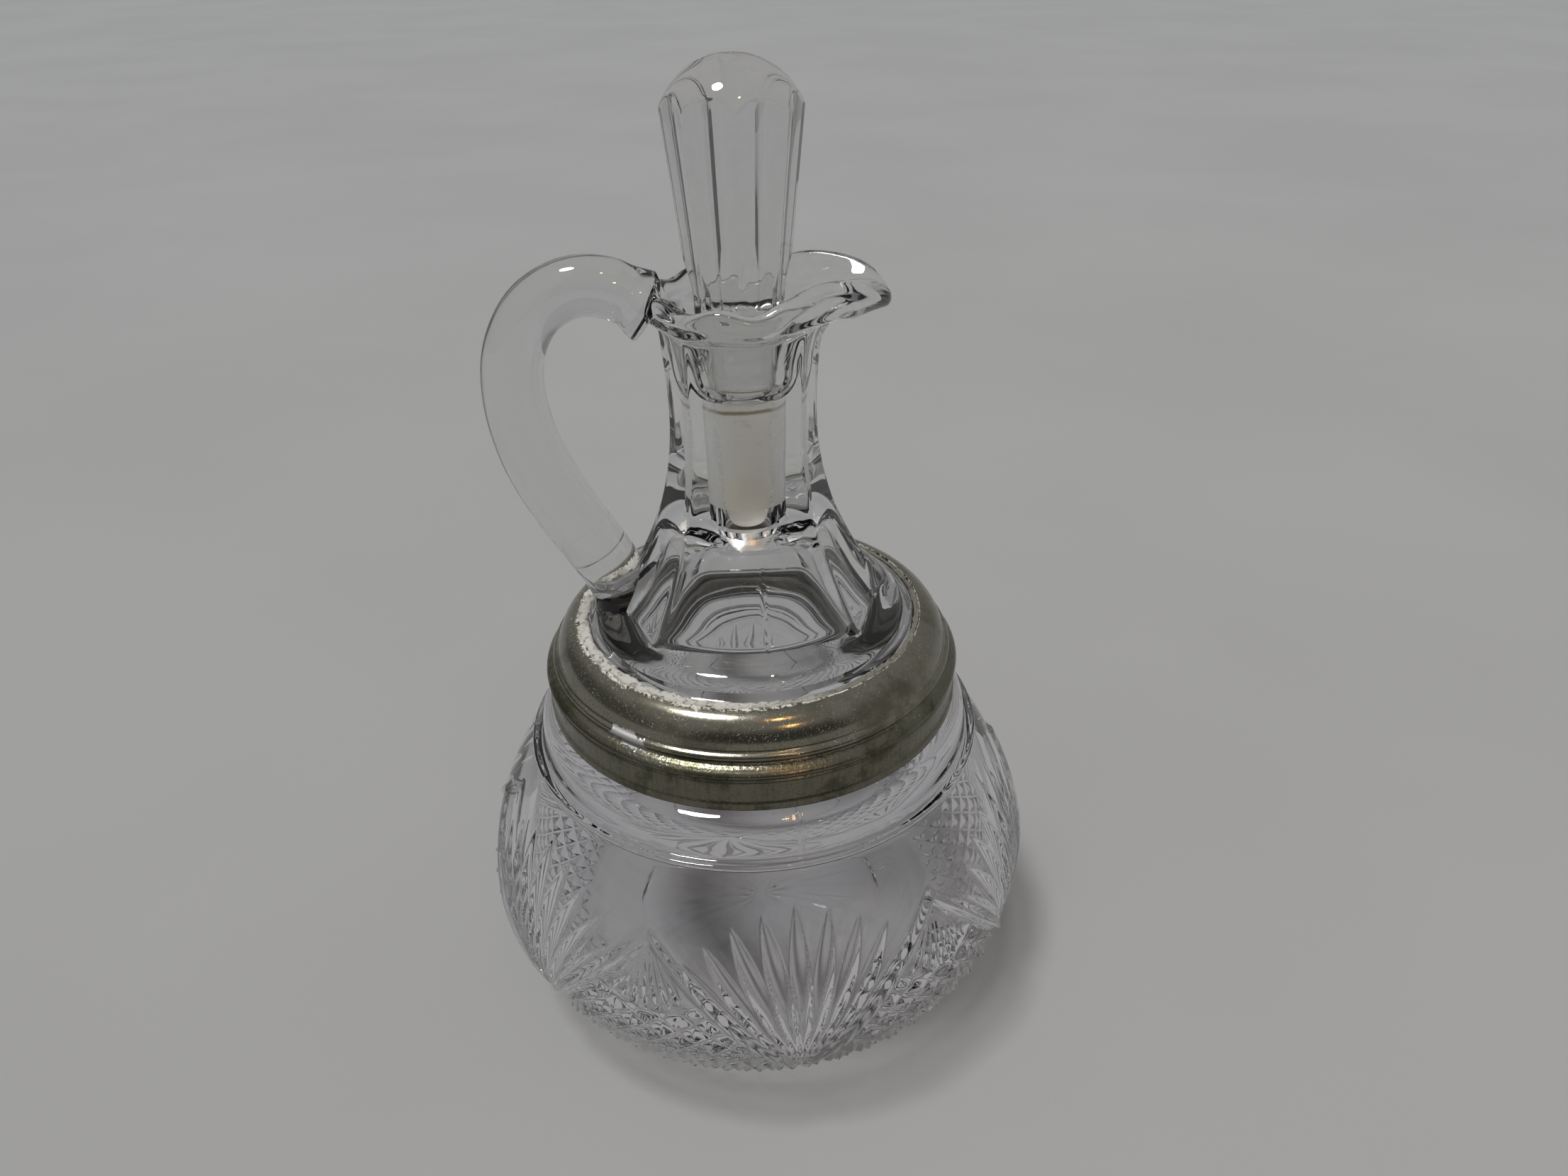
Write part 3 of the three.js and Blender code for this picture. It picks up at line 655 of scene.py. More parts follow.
@dataclass(frozen=True)
class TarnishedNickel:
    """Worn nickel plate: olive tarnish, striations, a corroded flake and plaster smears."""

    opening: float
    name: str = "tarnished_nickel"
    plate: Colour = (0.265, 0.254, 0.20, 1)
    tarnish: Colour = (0.095, 0.092, 0.06, 1)
    corrosion: Colour = (0.38, 0.38, 0.37, 1)
    plaster: Colour = (0.60, 0.59, 0.53, 1)
    shine: float = 0.15
    skirt_top: float = 66.0
    flake_middle: float = -129.0
    flake_half_width: float = 7.0
    flake_half_height: float = 1.1
    flake_height: float = 66.8
    flake_radius: float = 33.2
    flake_slope: float = -0.12
    flake_wander: float = 4.0
    thin_smear: float = 0.2
    wide_smear: float = 2.0

    def _flake(self, wiring: Wiring, place: Socket) -> Socket:
        """The mask of the corroded flake on the upper bead.

        Args:
            wiring: The material's wiring.
            place: Coordinates on the object.

        Returns:
            The mask socket.
        """
        bent = wiring.add("TexNoise", {"Vector": place, "Scale": 420.0, "Detail": 4.0})
        shift = wiring.vector("SUBTRACT", bent.outputs["Color"], (0.5, 0.5, 0.5))
        scaled = wiring.add("VectorMath", {0: shift, 3: self.flake_wander * MM},
                            operation="SCALE").outputs[0]
        turn = math.radians(self.flake_middle)
        radius = self.flake_radius
        centre = (radius * math.cos(turn) * MM, radius * math.sin(turn) * MM,
                  self.flake_height * MM)
        offset = wiring.vector("SUBTRACT", wiring.vector("ADD", place, scaled), centre)
        sideways = wiring.reach(offset, (-math.sin(turn), math.cos(turn), self.flake_slope))
        upward = wiring.reach(offset, (0.0, 0.0, 1.0))
        half_width = self.flake_half_width * radius * math.pi / 180 * MM
        across = wiring.maths("POWER", wiring.maths("DIVIDE", sideways, half_width), 2.0)
        rise = wiring.maths("POWER", wiring.maths(
            "DIVIDE", upward, self.flake_half_height * MM), 2.0)
        return wiring.ramp(wiring.plus(across, rise), 1.15, 0.85)

    def _smears(self, wiring: Wiring, place: Socket) -> Socket:
        """The mask of the plaster that is smeared over the edge of the opening.

        Args:
            wiring: The material's wiring.
            place: Coordinates on the object.

        Returns:
            The mask socket.
        """
        flat = wiring.vector("MULTIPLY", place, (1.0, 1.0, 0.0))
        radius = wiring.add("VectorMath", {0: flat}, operation="LENGTH").outputs["Value"]
        width = wiring.ramp(wiring.reach(place, PLASTER_SIDE), -8 * MM, 26 * MM,
                            self.thin_smear * MM, self.wide_smear * MM)
        beyond = wiring.maths("DIVIDE", wiring.minus(radius, self.opening * MM), width)
        ragged = wiring.plus(beyond, wiring.times(wiring.noise(place, 700, 6, 0.75), 1.8))
        speckled = wiring.ramp(wiring.noise(place, 1400, 3, 0.6), 0.44, 0.5)
        return wiring.times(wiring.ramp(ragged, 1.4, 1.15), speckled)

    def make(self, effects: Effects) -> Material:
        """Builds the material.

        Args:
            effects: The shared effects.

        Returns:
            The material.
        """
        material, wiring, shader = new_material(self.name, Specular_IOR_Level=0.5)
        place = wiring.place()
        patches = wiring.effect(effects.blotch, Patch_Scale=95, Grain_Scale=1500, Cover=0.62)
        striae = wiring.noise(wiring.vector("MULTIPLY", place, (1.0, 1.0, 0.04)), 1300, 2, 0.6)
        skirt = wiring.ramp(wiring.height(place), (self.skirt_top + 2) * MM,
                            (self.skirt_top - 1) * MM)
        streaked = wiring.times(skirt, wiring.ramp(striae, 0.42, 0.6))
        # Random tarnish patches, and the whole skirt below skirt_top darkened all round.
        patches_and_skirt = wiring.plus(wiring.times(patches.outputs["Patch"], 0.75),
                           wiring.times(skirt, 0.6))
        share = wiring.maths("MINIMUM", 1.0, wiring.plus(
            wiring.times(patches_and_skirt, 0.8), wiring.times(streaked, 0.14)))
        flake = self._flake(wiring, place)
        smears = self._smears(wiring, place)
        colour = wiring.blend(share, self.plate, self.tarnish)
        colour = wiring.blend(flake, colour, self.corrosion)
        colour = wiring.blend(smears, colour, self.plaster)
        metal = wiring.minus(wiring.ramp(flake, 0, 1, 1, 0.6), smears)
        rough = wiring.plus(self.shine, wiring.times(share, 0.16))
        rough = wiring.plus(rough, wiring.times(wiring.larger(flake, smears), 0.4))
        pits = wiring.ramp(wiring.noise(place, 3200, 2, 0.5), 0.6, 0.68)
        relief = wiring.plus(wiring.times(patches.outputs["Grain"], 0.25),
                             wiring.times(streaked, 0.3))
        relief = wiring.minus(relief, wiring.times(wiring.larger(pits, flake), 0.8))
        wiring.link(shader, Base_Color=colour, Metallic=metal, Roughness=rough,
                    Normal=wiring.bump(relief, 0.05))
        return material


@dataclass(frozen=True)
class Crumbly:
    """A dull granular matter, such as plaster or cork, that may be darker on one side."""

    name: str
    light: Colour
    dark: Colour
    patch_scale: float
    relief: float
    far_side_colour: Colour | None = None
    grain_scale: float = 1800
    cover: float = 0.5
    roughness: float = 0.95

    def make(self, effects: Effects) -> Material:
        """Builds the material.

        Args:
            effects: The shared effects.

        Returns:
            The material.
        """
        material, wiring, shader = new_material(
            self.name, Roughness=self.roughness, Specular_IOR_Level=0.25)
        marks = wiring.effect(effects.blotch, Patch_Scale=self.patch_scale,
                              Grain_Scale=self.grain_scale, Cover=self.cover)
        patch = marks.outputs["Patch"]
        colour = wiring.blend(patch, self.light, self.dark)
        # An optional third colour darkens the matter towards the side away from PLASTER_SIDE, with
        # a noisy border.
        if self.far_side_colour:
            place = wiring.place()
            uneven = wiring.plus(wiring.reach(place, PLASTER_SIDE), wiring.times(
                wiring.noise(place, 260, 4, 0.65), 30 * MM))
            colour = wiring.blend(wiring.ramp(uneven, 36 * MM, 12 * MM), colour, self.far_side_colour)
        height = wiring.minus(marks.outputs["Grain"], wiring.times(patch, 0.5))
        wiring.link(shader, Base_Color=colour, Normal=wiring.bump(height, self.relief))
        return material


# Sub-assemblies


class SubAssembly:
    """A visible part of the cruet, which builds its mesh and dresses it."""

    slot: ClassVar[Slot]
    body: ClassVar[Body]
    crease: ClassVar[float]

    def build(self) -> Piece:
        """Builds the mesh, in each part's own way."""
        raise NotImplementedError

    def dress(self, *finishes: Material) -> None:
        """Builds the piece, smooths it, gives it its finishes and puts it on its body.

        Args:
            *finishes: Materials in the order of the mesh's material indices.
        """
        piece = self.build()
        for finish in finishes:
            piece.data.materials.append(finish)
        piece.data.shade_smooth()
        piece.data.set_sharp_from_angle(angle=math.radians(self.crease))
        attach(piece, self.body.value)
        LOG.info("%s: %d faces on %s", piece.name, len(piece.data.polygons),
                 self.body.value)


@dataclass
class PressedPattern:
    """The relief of the bowl: fans, the raised zigzag, small fans and diamond points."""

    fans: int = 6
    turn: float = 4.0
    origin: float = 12.0
    reach: float = 33.5
    leaves: int = 9
    leaf_pitch: float = 9.25
    leaf_depth: float = 1.35
    leaf_slope: float = 0.72
    fork: float = 0.6
    peak: float = 39.5
    peak_radius: float = 44.6
    peak_gap: float = 0.5
    rib_width: float = 1.1
    rib_proud: float = 0.7
    set_back: float = 0.75
    small_reach: float = 13.0
    small_leaves: int = 7
    small_pitch: float = 10.0
    small_depth: float = 0.95
    point_pitch: float = 5.4
    point_proud: float = 1.4
    point_bottom: float = 2.2

    def _leaves(self, lean: Array, run: Array, pitch: float, count: int, reach: float,
                depth: float) -> Array:
        """Depth of the hollow leaves of a fan.

        Args:
            lean: Direction from the fan's origin, from its middle line, in radians.
            run: Distance from the origin.
            pitch: Angle between two leaves.
            count: Number of leaves.
            reach: Length of a leaf.
            depth: Greatest depth.

        Returns:
            The depth below the plain glass, 0 outside the leaves. From the fork on, a
            leaf narrows to a point.
        """
        step = math.radians(pitch)
        limit = (count - 1) / 2
        number = np.clip(np.round(lean / step), -limit, limit)
        across = np.abs(lean / step - number) * 2
        share = run / (reach * (1 - 0.02 * np.abs(number) + 0.02 * np.sin(3.1 * number)))
        width = 1 - np.clip((share - self.fork) / (1 - self.fork), 0, 1) ** 1.7
        profile = np.clip(1 - (across / np.maximum(width, 1e-3)) ** 2, 0, None)
        half_width = np.maximum(run, 0) * step / 2 * width
        return profile * np.minimum(depth, self.leaf_slope * half_width)

    def relief(self, turn: Array, height: Array, radius: Array, arc: Array) -> Array:
        """Height of the pattern above the plain glass.

        Args:
            turn: Angle of each column, in radians, as (1, columns).
            height: Height of each row, as (rows, 1).
            radius: Radius of each row, as (rows, 1).
            arc: Length along the profile from the widest row, as (rows, 1).

        Returns:
            The relief as (rows, columns).
        """
        sector = 2 * math.pi / self.fans
        local = turn - math.radians(self.turn - 90)
        local = (local + sector / 2) % sector - sector / 2
        side = local * radius
        edge = sector / 2 * radius
        rise = height - self.origin
        run = np.hypot(side, rise)
        lean = np.arctan2(side, rise)
        peak_side = sector / 2 * self.peak_radius
        peak_rise = self.peak - self.origin
        length = math.hypot(peak_side, peak_rise)
        along = (np.abs(side) * peak_side + rise * peak_rise) / length
        across = (np.abs(side) * peak_rise - rise * peak_side) / length
        beyond = np.clip(along - length, 0, None) + np.clip(-along, 0, None)
        distance = np.hypot(across, beyond)
        below = (across > 0) & (rise < peak_rise + 0.4) | (rise < 0)
        from_edge = edge - np.abs(side)
        peak_drop = np.clip(self.peak - height, -1, None)
        rib = self.rib_proud * np.exp(-(distance / self.rib_width) ** 2)
        rib *= smoothstep(along, -1.0, 3.0)
        clear = smoothstep(distance, 0.1, 1.2)
        depth = -self._leaves(lean, run, self.leaf_pitch, self.leaves, self.reach,
                              self.leaf_depth) * clear * (rise > 0)
        small_drop = peak_drop - self.peak_gap
        small_lean = np.arctan2(np.sign(side) * from_edge, small_drop)
        small_run = np.hypot(from_edge, small_drop)
        small = -self._leaves(small_lean, small_run, self.small_pitch, self.small_leaves,
                              self.small_reach, self.small_depth)
        small = small * smoothstep(peak_drop, self.peak_gap, self.peak_gap + 0.7)
        lower = (small - self.set_back) * clear
        points = self._points(side, from_edge, arc, height, distance, below, small_run)
        result = np.where(below, lower + points, depth) + rib
        return result * smoothstep(height, 0.6, 2.6)

    def _points(self, side: Array, from_edge: Array, arc: Array, height: Array,
                distance: Array, below: Array, small_run: Array) -> Array:
        """Height of the diamond points.

        Args:
            side: Distance round the bowl from the fan's middle.
            from_edge: Distance round the bowl from the middle between two fans.
            arc: Length along the profile.
            height: Height of each row.
            distance: Distance from the zigzag.
            below: True below the zigzag.
            small_run: Distance from the small fan's origin.

        Returns:
            The height above the set back glass.
        """
        signed = np.sign(side) * from_edge
        first = (signed + arc) / self.point_pitch
        second = (signed - arc) / self.point_pitch
        fold = np.maximum(np.abs(first - np.round(first)), np.abs(second - np.round(second)))
        block = below & (small_run > self.small_reach)
        fade = smoothstep(np.where(block, distance, 0), 1.5, 2.4)
        fade = fade * smoothstep(small_run, self.small_reach, self.small_reach + 1)
        fade = fade * smoothstep(height, self.point_bottom, self.point_bottom + 1.2)
        return self.point_proud * (1 - 2 * fold) * fade


@dataclass
class Bowl(SubAssembly):
    """The pressed glass bowl with its foot, pattern, shoulder ring and screw finish."""

    slot: ClassVar[Slot] = Slot.BOWL
    body: ClassVar[Body] = Body.BOWL
    crease: ClassVar[float] = 60.0

    radius: float = 48.5
    widest: float = 25.0
    lower_round: float = 26.6
    shoulder_radius: float = 38.8
    shoulder_height: float = 49.6
    fullness: float = 1.72
    wall: float = 4.6
    floor: float = 5.5
    floor_round: float = 17.0
    band_top: float = 57.7
    finish_radius: float = 32.3
    rim: float = 65.3
    mouth: float = 28.0
    mouth_depth: float = 12.0
    star_radius: float = 23.6
    star_rays: int = 16
    star_depth: float = 0.14
    recess: float = 0.8
    thread_pitch: float = 3.8
    thread_turns: float = 1.25
    thread_proud: float = 0.9
    seam: float = -83.0
    seam_proud: float = 0.16
    cavity_top: float = 0.9
    cavity_rows: int = 22
    upper_length: float = 27.5
    columns: int = 1440
    step: float = 0.26
    pattern: PressedPattern = field(default_factory=PressedPattern)

    def _outer_radius(self, height: Array) -> Array:
        """Radius of the plain outside above the widest place.

        Args:
            height: Heights.

        Returns:
            The radius at each height.
        """
        share = np.clip(height - self.widest, 0, None) / (self.shoulder_height - self.widest)
        return self.radius - (self.radius - self.shoulder_radius) * share ** self.fullness

    def _lower_side(self) -> Array:
        """The round lower side.

        Returns:
            Its profile, from the foot to the widest place.
        """
        start = math.asin(self.widest / self.lower_round)
        count = int(start * self.lower_round / self.step)
        turn = -start * (1 - np.linspace(0, 1, count))
        centre = self.radius - self.lower_round
        return np.stack([centre + self.lower_round * np.cos(turn),
                         self.widest + self.lower_round * np.sin(turn)], 1)

    def _upper_side(self) -> Array:
        """The upper side.

        Returns:
            Its profile, from the widest place to the shoulder.
        """
        count = int(self.upper_length / self.step)
        height = np.linspace(self.widest, self.shoulder_height, count + 1)[1:]
        return np.stack([self._outer_radius(height), height], 1)

    def _shoulder(self) -> Array:
        """The small ring on the shoulder, the smooth band and the screw finish.

        Returns:
            Their profile, from the shoulder to the mouth.
        """
        ring = (self.shoulder_radius - 0.35, self.shoulder_height + 0.45)
        band_foot = ring[1] + 0.75
        finish = self.finish_radius
        return np.concatenate([
            round_edge(ring, 0.62, -10, 110, 7),
            spline([(ring[0] - 0.9, band_foot - 0.1), (ring[0] - 1.25, band_foot + 0.6),
                    (ring[0] - 1.45, band_foot + 2.4), (ring[0] - 1.9, band_foot + 4.2),
                    (ring[0] - 2.8, band_foot + 5.6), (ring[0] - 4.2, band_foot + 6.4),
                    (finish + 1.0, self.band_top), (finish + 0.25, self.band_top + 0.15)], 20),
            straight([(finish, self.band_top + 0.5), (finish, self.rim - 1.1)], 0.34),
            round_edge((finish - 0.9, self.rim - 0.9), 0.9, 15, 90, 5),
            round_edge((self.mouth + 0.9, self.rim - 0.9), 0.9, 95, 180, 6),
        ])

    def _inside(self) -> Array:
        """The cavity.

        Returns:
            Its profile, from the mouth down to the middle of the floor.
        """
        mouth_foot = self.rim - self.mouth_depth
        shares = np.linspace(self.cavity_top, 0, self.cavity_rows)
        level = self.widest + (self.shoulder_height - self.widest) * shares
        side = np.stack([self._outer_radius(level) - self.wall, level], 1)
        throat = spline([(self.mouth, mouth_foot), (self.mouth + 0.5, mouth_foot - 1.5),
                         (self.mouth + 2.6, mouth_foot - 3.6), tuple(side[0])], 10)
        inner = self.radius - self.wall
        turn = np.linspace(0, math.pi / 2, self.cavity_rows)
        corner = np.stack([
            inner - self.floor_round * (1 - np.cos(turn)),
            self.floor + self.floor_round * (1 - np.sin(turn)),
        ], 1)
        floor = straight([tuple(corner[-1]), (0.4, self.floor)], 2.2)
        return np.concatenate([
            straight([(self.mouth, self.rim - 1.4), (self.mouth, mouth_foot + 0.3)], 2),
            throat, side[1:], corner[1:], floor[1:],
        ])

    def _star(self, turn: Array, radius: Array) -> Array:
        """Relief of the rayed star under the foot.

        Args:
            turn: Angle of each column, in radians.
            radius: Radius of each row.

        Returns:
            The relief as (rows, columns).
        """
        step = 2 * math.pi / self.star_rays
        fold = np.abs(turn / step - np.round(turn / step)) * 2
        reach = 1 - radius / self.star_radius
        groove = np.clip(1 - fold / np.clip(reach * 1.1, 0.02, 1), 0, 1)
        short = np.abs((turn / step + 0.5) - np.round(turn / step + 0.5)) * 2
        minor = np.clip(1 - short / np.clip(0.55 - radius / self.star_radius * 0.6, 0.02, 1), 0, 1)
        depth = self.star_depth * np.maximum(groove, 0.6 * minor * (radius > 7))
        return -depth * smoothstep(radius, 0.6, 3.0) * smoothstep(
            radius, self.star_radius, 0.6 * self.star_radius)

    def _thread(self, turn: Array, height: Array) -> Array:
        """Relief of the screw thread on the finish.

        Args:
            turn: Angle of each column, in radians.
            height: Height of each row.

        Returns:
            The relief as (rows, columns).
        """
        total = self.thread_turns * 2 * math.pi
        top = self.rim - 2.5
        result = np.zeros(np.broadcast(turn, height).shape)
        for lap in range(math.ceil(self.thread_turns)):
            angle = turn + lap * 2 * math.pi
            share = angle / total
            middle = top - (1 - share) * self.thread_turns * self.thread_pitch
            ridge = np.exp(-((height - middle) / 0.85) ** 4)
            fade = smoothstep(share, 0, 0.08) * smoothstep(1 - share, 0, 0.08)
            result = np.maximum(result, self.thread_proud * ridge * fade * (share <= 1))
        return result

    def build(self) -> Piece:
        """Builds the bowl as one closed glass body.

        Returns:
            The bowl.
        """
        under = np.concatenate([
            straight([(0.4, self.recess), (self.star_radius, self.recess)], 1.0),
            straight([(self.star_radius + 0.7, 0.05), (self.star_radius + 1.2, 0.0),
                      (self.radius - self.lower_round + 8.4, 0.0)], 2.0),
        ])
        lower, upper, shoulder = self._lower_side(), self._upper_side(), self._shoulder()
        inside = self._inside()
        profile = np.concatenate([under, lower, upper, shoulder, inside])
        turn = angles(self.columns)[None, :]
        relief = np.zeros((len(profile), self.columns))
        first, last = len(under), len(under) + len(lower) + len(upper)
        side = profile[first:last]
        arc = np.concatenate([[0], np.cumsum(np.hypot(*np.diff(side, axis=0).T))])
        arc = arc - arc[len(lower) - 1]
        relief[first:last] = self.pattern.relief(
            turn, side[:, 1:], side[:, :1], arc[:, None])
        relief[:first] += self._star(turn, under[:, :1])
        upper_rows = slice(last, last + len(shoulder))
        band = profile[upper_rows]
        relief[upper_rows] += self._thread(turn, band[:, 1:]) * (
            band[:, 1:] > self.band_top + 0.6) * (band[:, :1] > self.finish_radius - 0.2)
        relief[upper_rows] += 0.06 * ripple(turn, band[:, 1:], 2.3)
        relief[upper_rows] += self._seams(turn, band)
        cavity = slice(last + len(shoulder), None)
        relief[cavity] += 0.14 * ripple(turn, profile[cavity][:, 1:], 0.7)
        piece = solid("bowl_glass_body", rings_of(profile, self.columns, relief))
        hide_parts("bowl")
        return piece

    def _seams(self, turn: Array, band: Array) -> Array:
        """Relief of the two mould seams on the smooth band.

        Args:
            turn: Angle of each column, in radians.
            band: Profile of the band.

        Returns:
            The relief as (rows, columns).
        """
        result = np.zeros((len(band), turn.shape[1]))
        for seam in (self.seam, self.seam + 180):
            apart = (turn - math.radians(seam) + math.pi) % (2 * math.pi) - math.pi
            result += self.seam_proud * np.exp(-((apart * band[:, :1]) / 0.28) ** 2)
        return result * (band[:, 1:] < self.band_top) * (band[:, 1:] > self.shoulder_height + 1)


@dataclass
class ScrewCollar(SubAssembly):
    """The thin metal collar with its rolled foot, two beads and domed top."""

    slot: ClassVar[Slot] = Slot.METAL
    body: ClassVar[Body] = Body.TOP
    crease: ClassVar[float] = 50.0

    foot: float = 58.1
    outside: float = 34.5
    sheet: float = 0.55
    hem: float = 0.3
    lower_bead: float = 6.5
    upper_bead: float = 8.9
    upper_inset: float = 1.35
    bead: float = 0.75
    dome_inset: float = 1.8
    dome_rise: float = 4.9
    opening: float = 28.4
    columns: int = 288

    def dome(self, inset: float, count: int) -> Array:
        """The domed top's line, moved inwards square to itself.

        Args:
            inset: Distance that it is moved.
            count: Number of points.

        Returns:
            An array of (radius, height) rows, from the upper bead to the opening.
        """
        radius = self.outside - self.dome_inset
        width = radius - self.opening
        height = self.foot + self.upper_bead + self.bead
        knots = np.array([
            (radius, height),
            (radius - 0.04 * width, height + 0.42 * self.dome_rise),
            (radius - 0.4 * width, height + 0.93 * self.dome_rise),
            (self.opening, height + self.dome_rise),
        ])
        t = np.linspace(0, 1, count)[:, None]
        line = ((1 - t) ** 3 * knots[0] + 3 * (1 - t) ** 2 * t * knots[1]
                + 3 * (1 - t) * t ** 2 * knots[2] + t ** 3 * knots[3])
        return line - profile_normals(line) * inset

    def _outer(self) -> Array:
        """The outer side of the collar.

        Returns:
            Its profile, from the rolled foot to the opening.
        """
        low, high = self.foot + self.lower_bead, self.foot + self.upper_bead
        skirt = self.outside
        upper = self.outside - self.upper_inset
        return np.concatenate([
            round_edge((skirt - 0.12, self.foot + 0.42), 0.42, -90, -10, 5),
            spline([(skirt + self.hem, self.foot + 0.75), (skirt + self.hem, self.foot + 1.3),
                    (skirt + 0.02, self.foot + 1.9), (skirt, self.foot + 2.6)], 9),
            straight([(skirt + 0.02, self.foot + 3.2), (skirt + 0.08, low - 1.5)], 0.8),
            spline([(skirt + 0.02, low - 1.15), (skirt - 0.3, low - 0.85),
                    (skirt + 0.12, low - 0.5), (skirt + 0.42, low),
                    (skirt + 0.12, low + 0.5), (skirt - 0.32, low + 0.85)], 18),
            spline([(skirt - 0.5, low + 1.0), (upper + 0.05, high - 1.0),
                    (upper - 0.02, high - 0.75), (upper + 0.3, high - 0.4),
                    (upper + 0.45, high), (upper + 0.25, high + 0.45),
                    (upper - 0.25, high + 0.72)], 22),
            self.dome(0, 26)[1:],
        ])

    def build(self) -> Piece:
        """Builds the collar as a closed shell of sheet.

        Returns:
            The collar.
        """
        low, high = self.foot + self.lower_bead, self.foot + self.upper_bead
        inside = self.outside - self.sheet
        upper = self.outside - self.upper_inset
        profile = np.concatenate([
            self._outer(),
            self.dome(self.sheet, 14)[::-1],
            straight([(upper - self.sheet, high - self.bead), (inside, low + self.bead),
                      (inside, self.foot + 0.3)], 1.0),
        ])
        turn = angles(self.columns)[None, :]
        relief = 0.05 * ripple(turn, profile[:, 1:], 4.1)
        piece = solid("collar_sheet", rings_of(profile, self.columns, relief), looped=True)
        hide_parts("screw_collar")
        return piece


@dataclass
class CementCrust(SubAssembly):
    """The plaster between the collar and the neck, with its ragged visible crust."""

    slot: ClassVar[Slot] = Slot.CEMENT
    body: ClassVar[Body] = Body.TOP
    crease: ClassVar[float] = 60.0

    collar: ScrewCollar
    gap: float = 0.12
    thickness: float = 1.3
    start: int = 6
    widest: float = -150.0
    columns: int = 360

    def build(self) -> Piece:
        """Builds the crust as a closed ring.

        Returns:
            The crust.
        """
        outside = self.collar.dome(self.collar.sheet + self.gap, 14)[self.start:]
        inside = self.collar.dome(self.collar.sheet + self.thickness, 14)[self.start:]
        top, under = outside[-1], inside[-1]
        crust = spline([(top[0] + 0.25, top[1] + 0.25), (top[0] + 0.1, top[1] + 0.66),
                        (top[0] - 0.5, top[1] + 0.74), (top[0] - 1.0, top[1] + 0.5),
                        (under[0] - 0.5, under[1] + 0.75)], 12)
        profile = np.concatenate([outside, crust, inside[::-1]])
        turn = angles(self.columns)[None, :]
        rows = np.arange(len(profile))[:, None]
        bare = (rows >= len(outside)) & (rows < len(outside) + len(crust))
        spread = 0.5 + 0.5 * np.cos(turn - math.radians(self.widest))
        lumps = (0.5 * np.sin(23 * turn + 1.3 * rows) + 0.35 * np.sin(41 * turn + 2.1 * rows)
                 + 0.3 * np.sin(67 * turn - 1.7 * rows) + 0.25 * np.sin(97 * turn + 0.6 * rows))
        relief = bare * (0.2 * lumps + 0.62 * spread - 0.32)
        piece = solid("cement_crust", rings_of(profile, self.columns, relief), looped=True)
        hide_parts("cement_ring")
        return piece


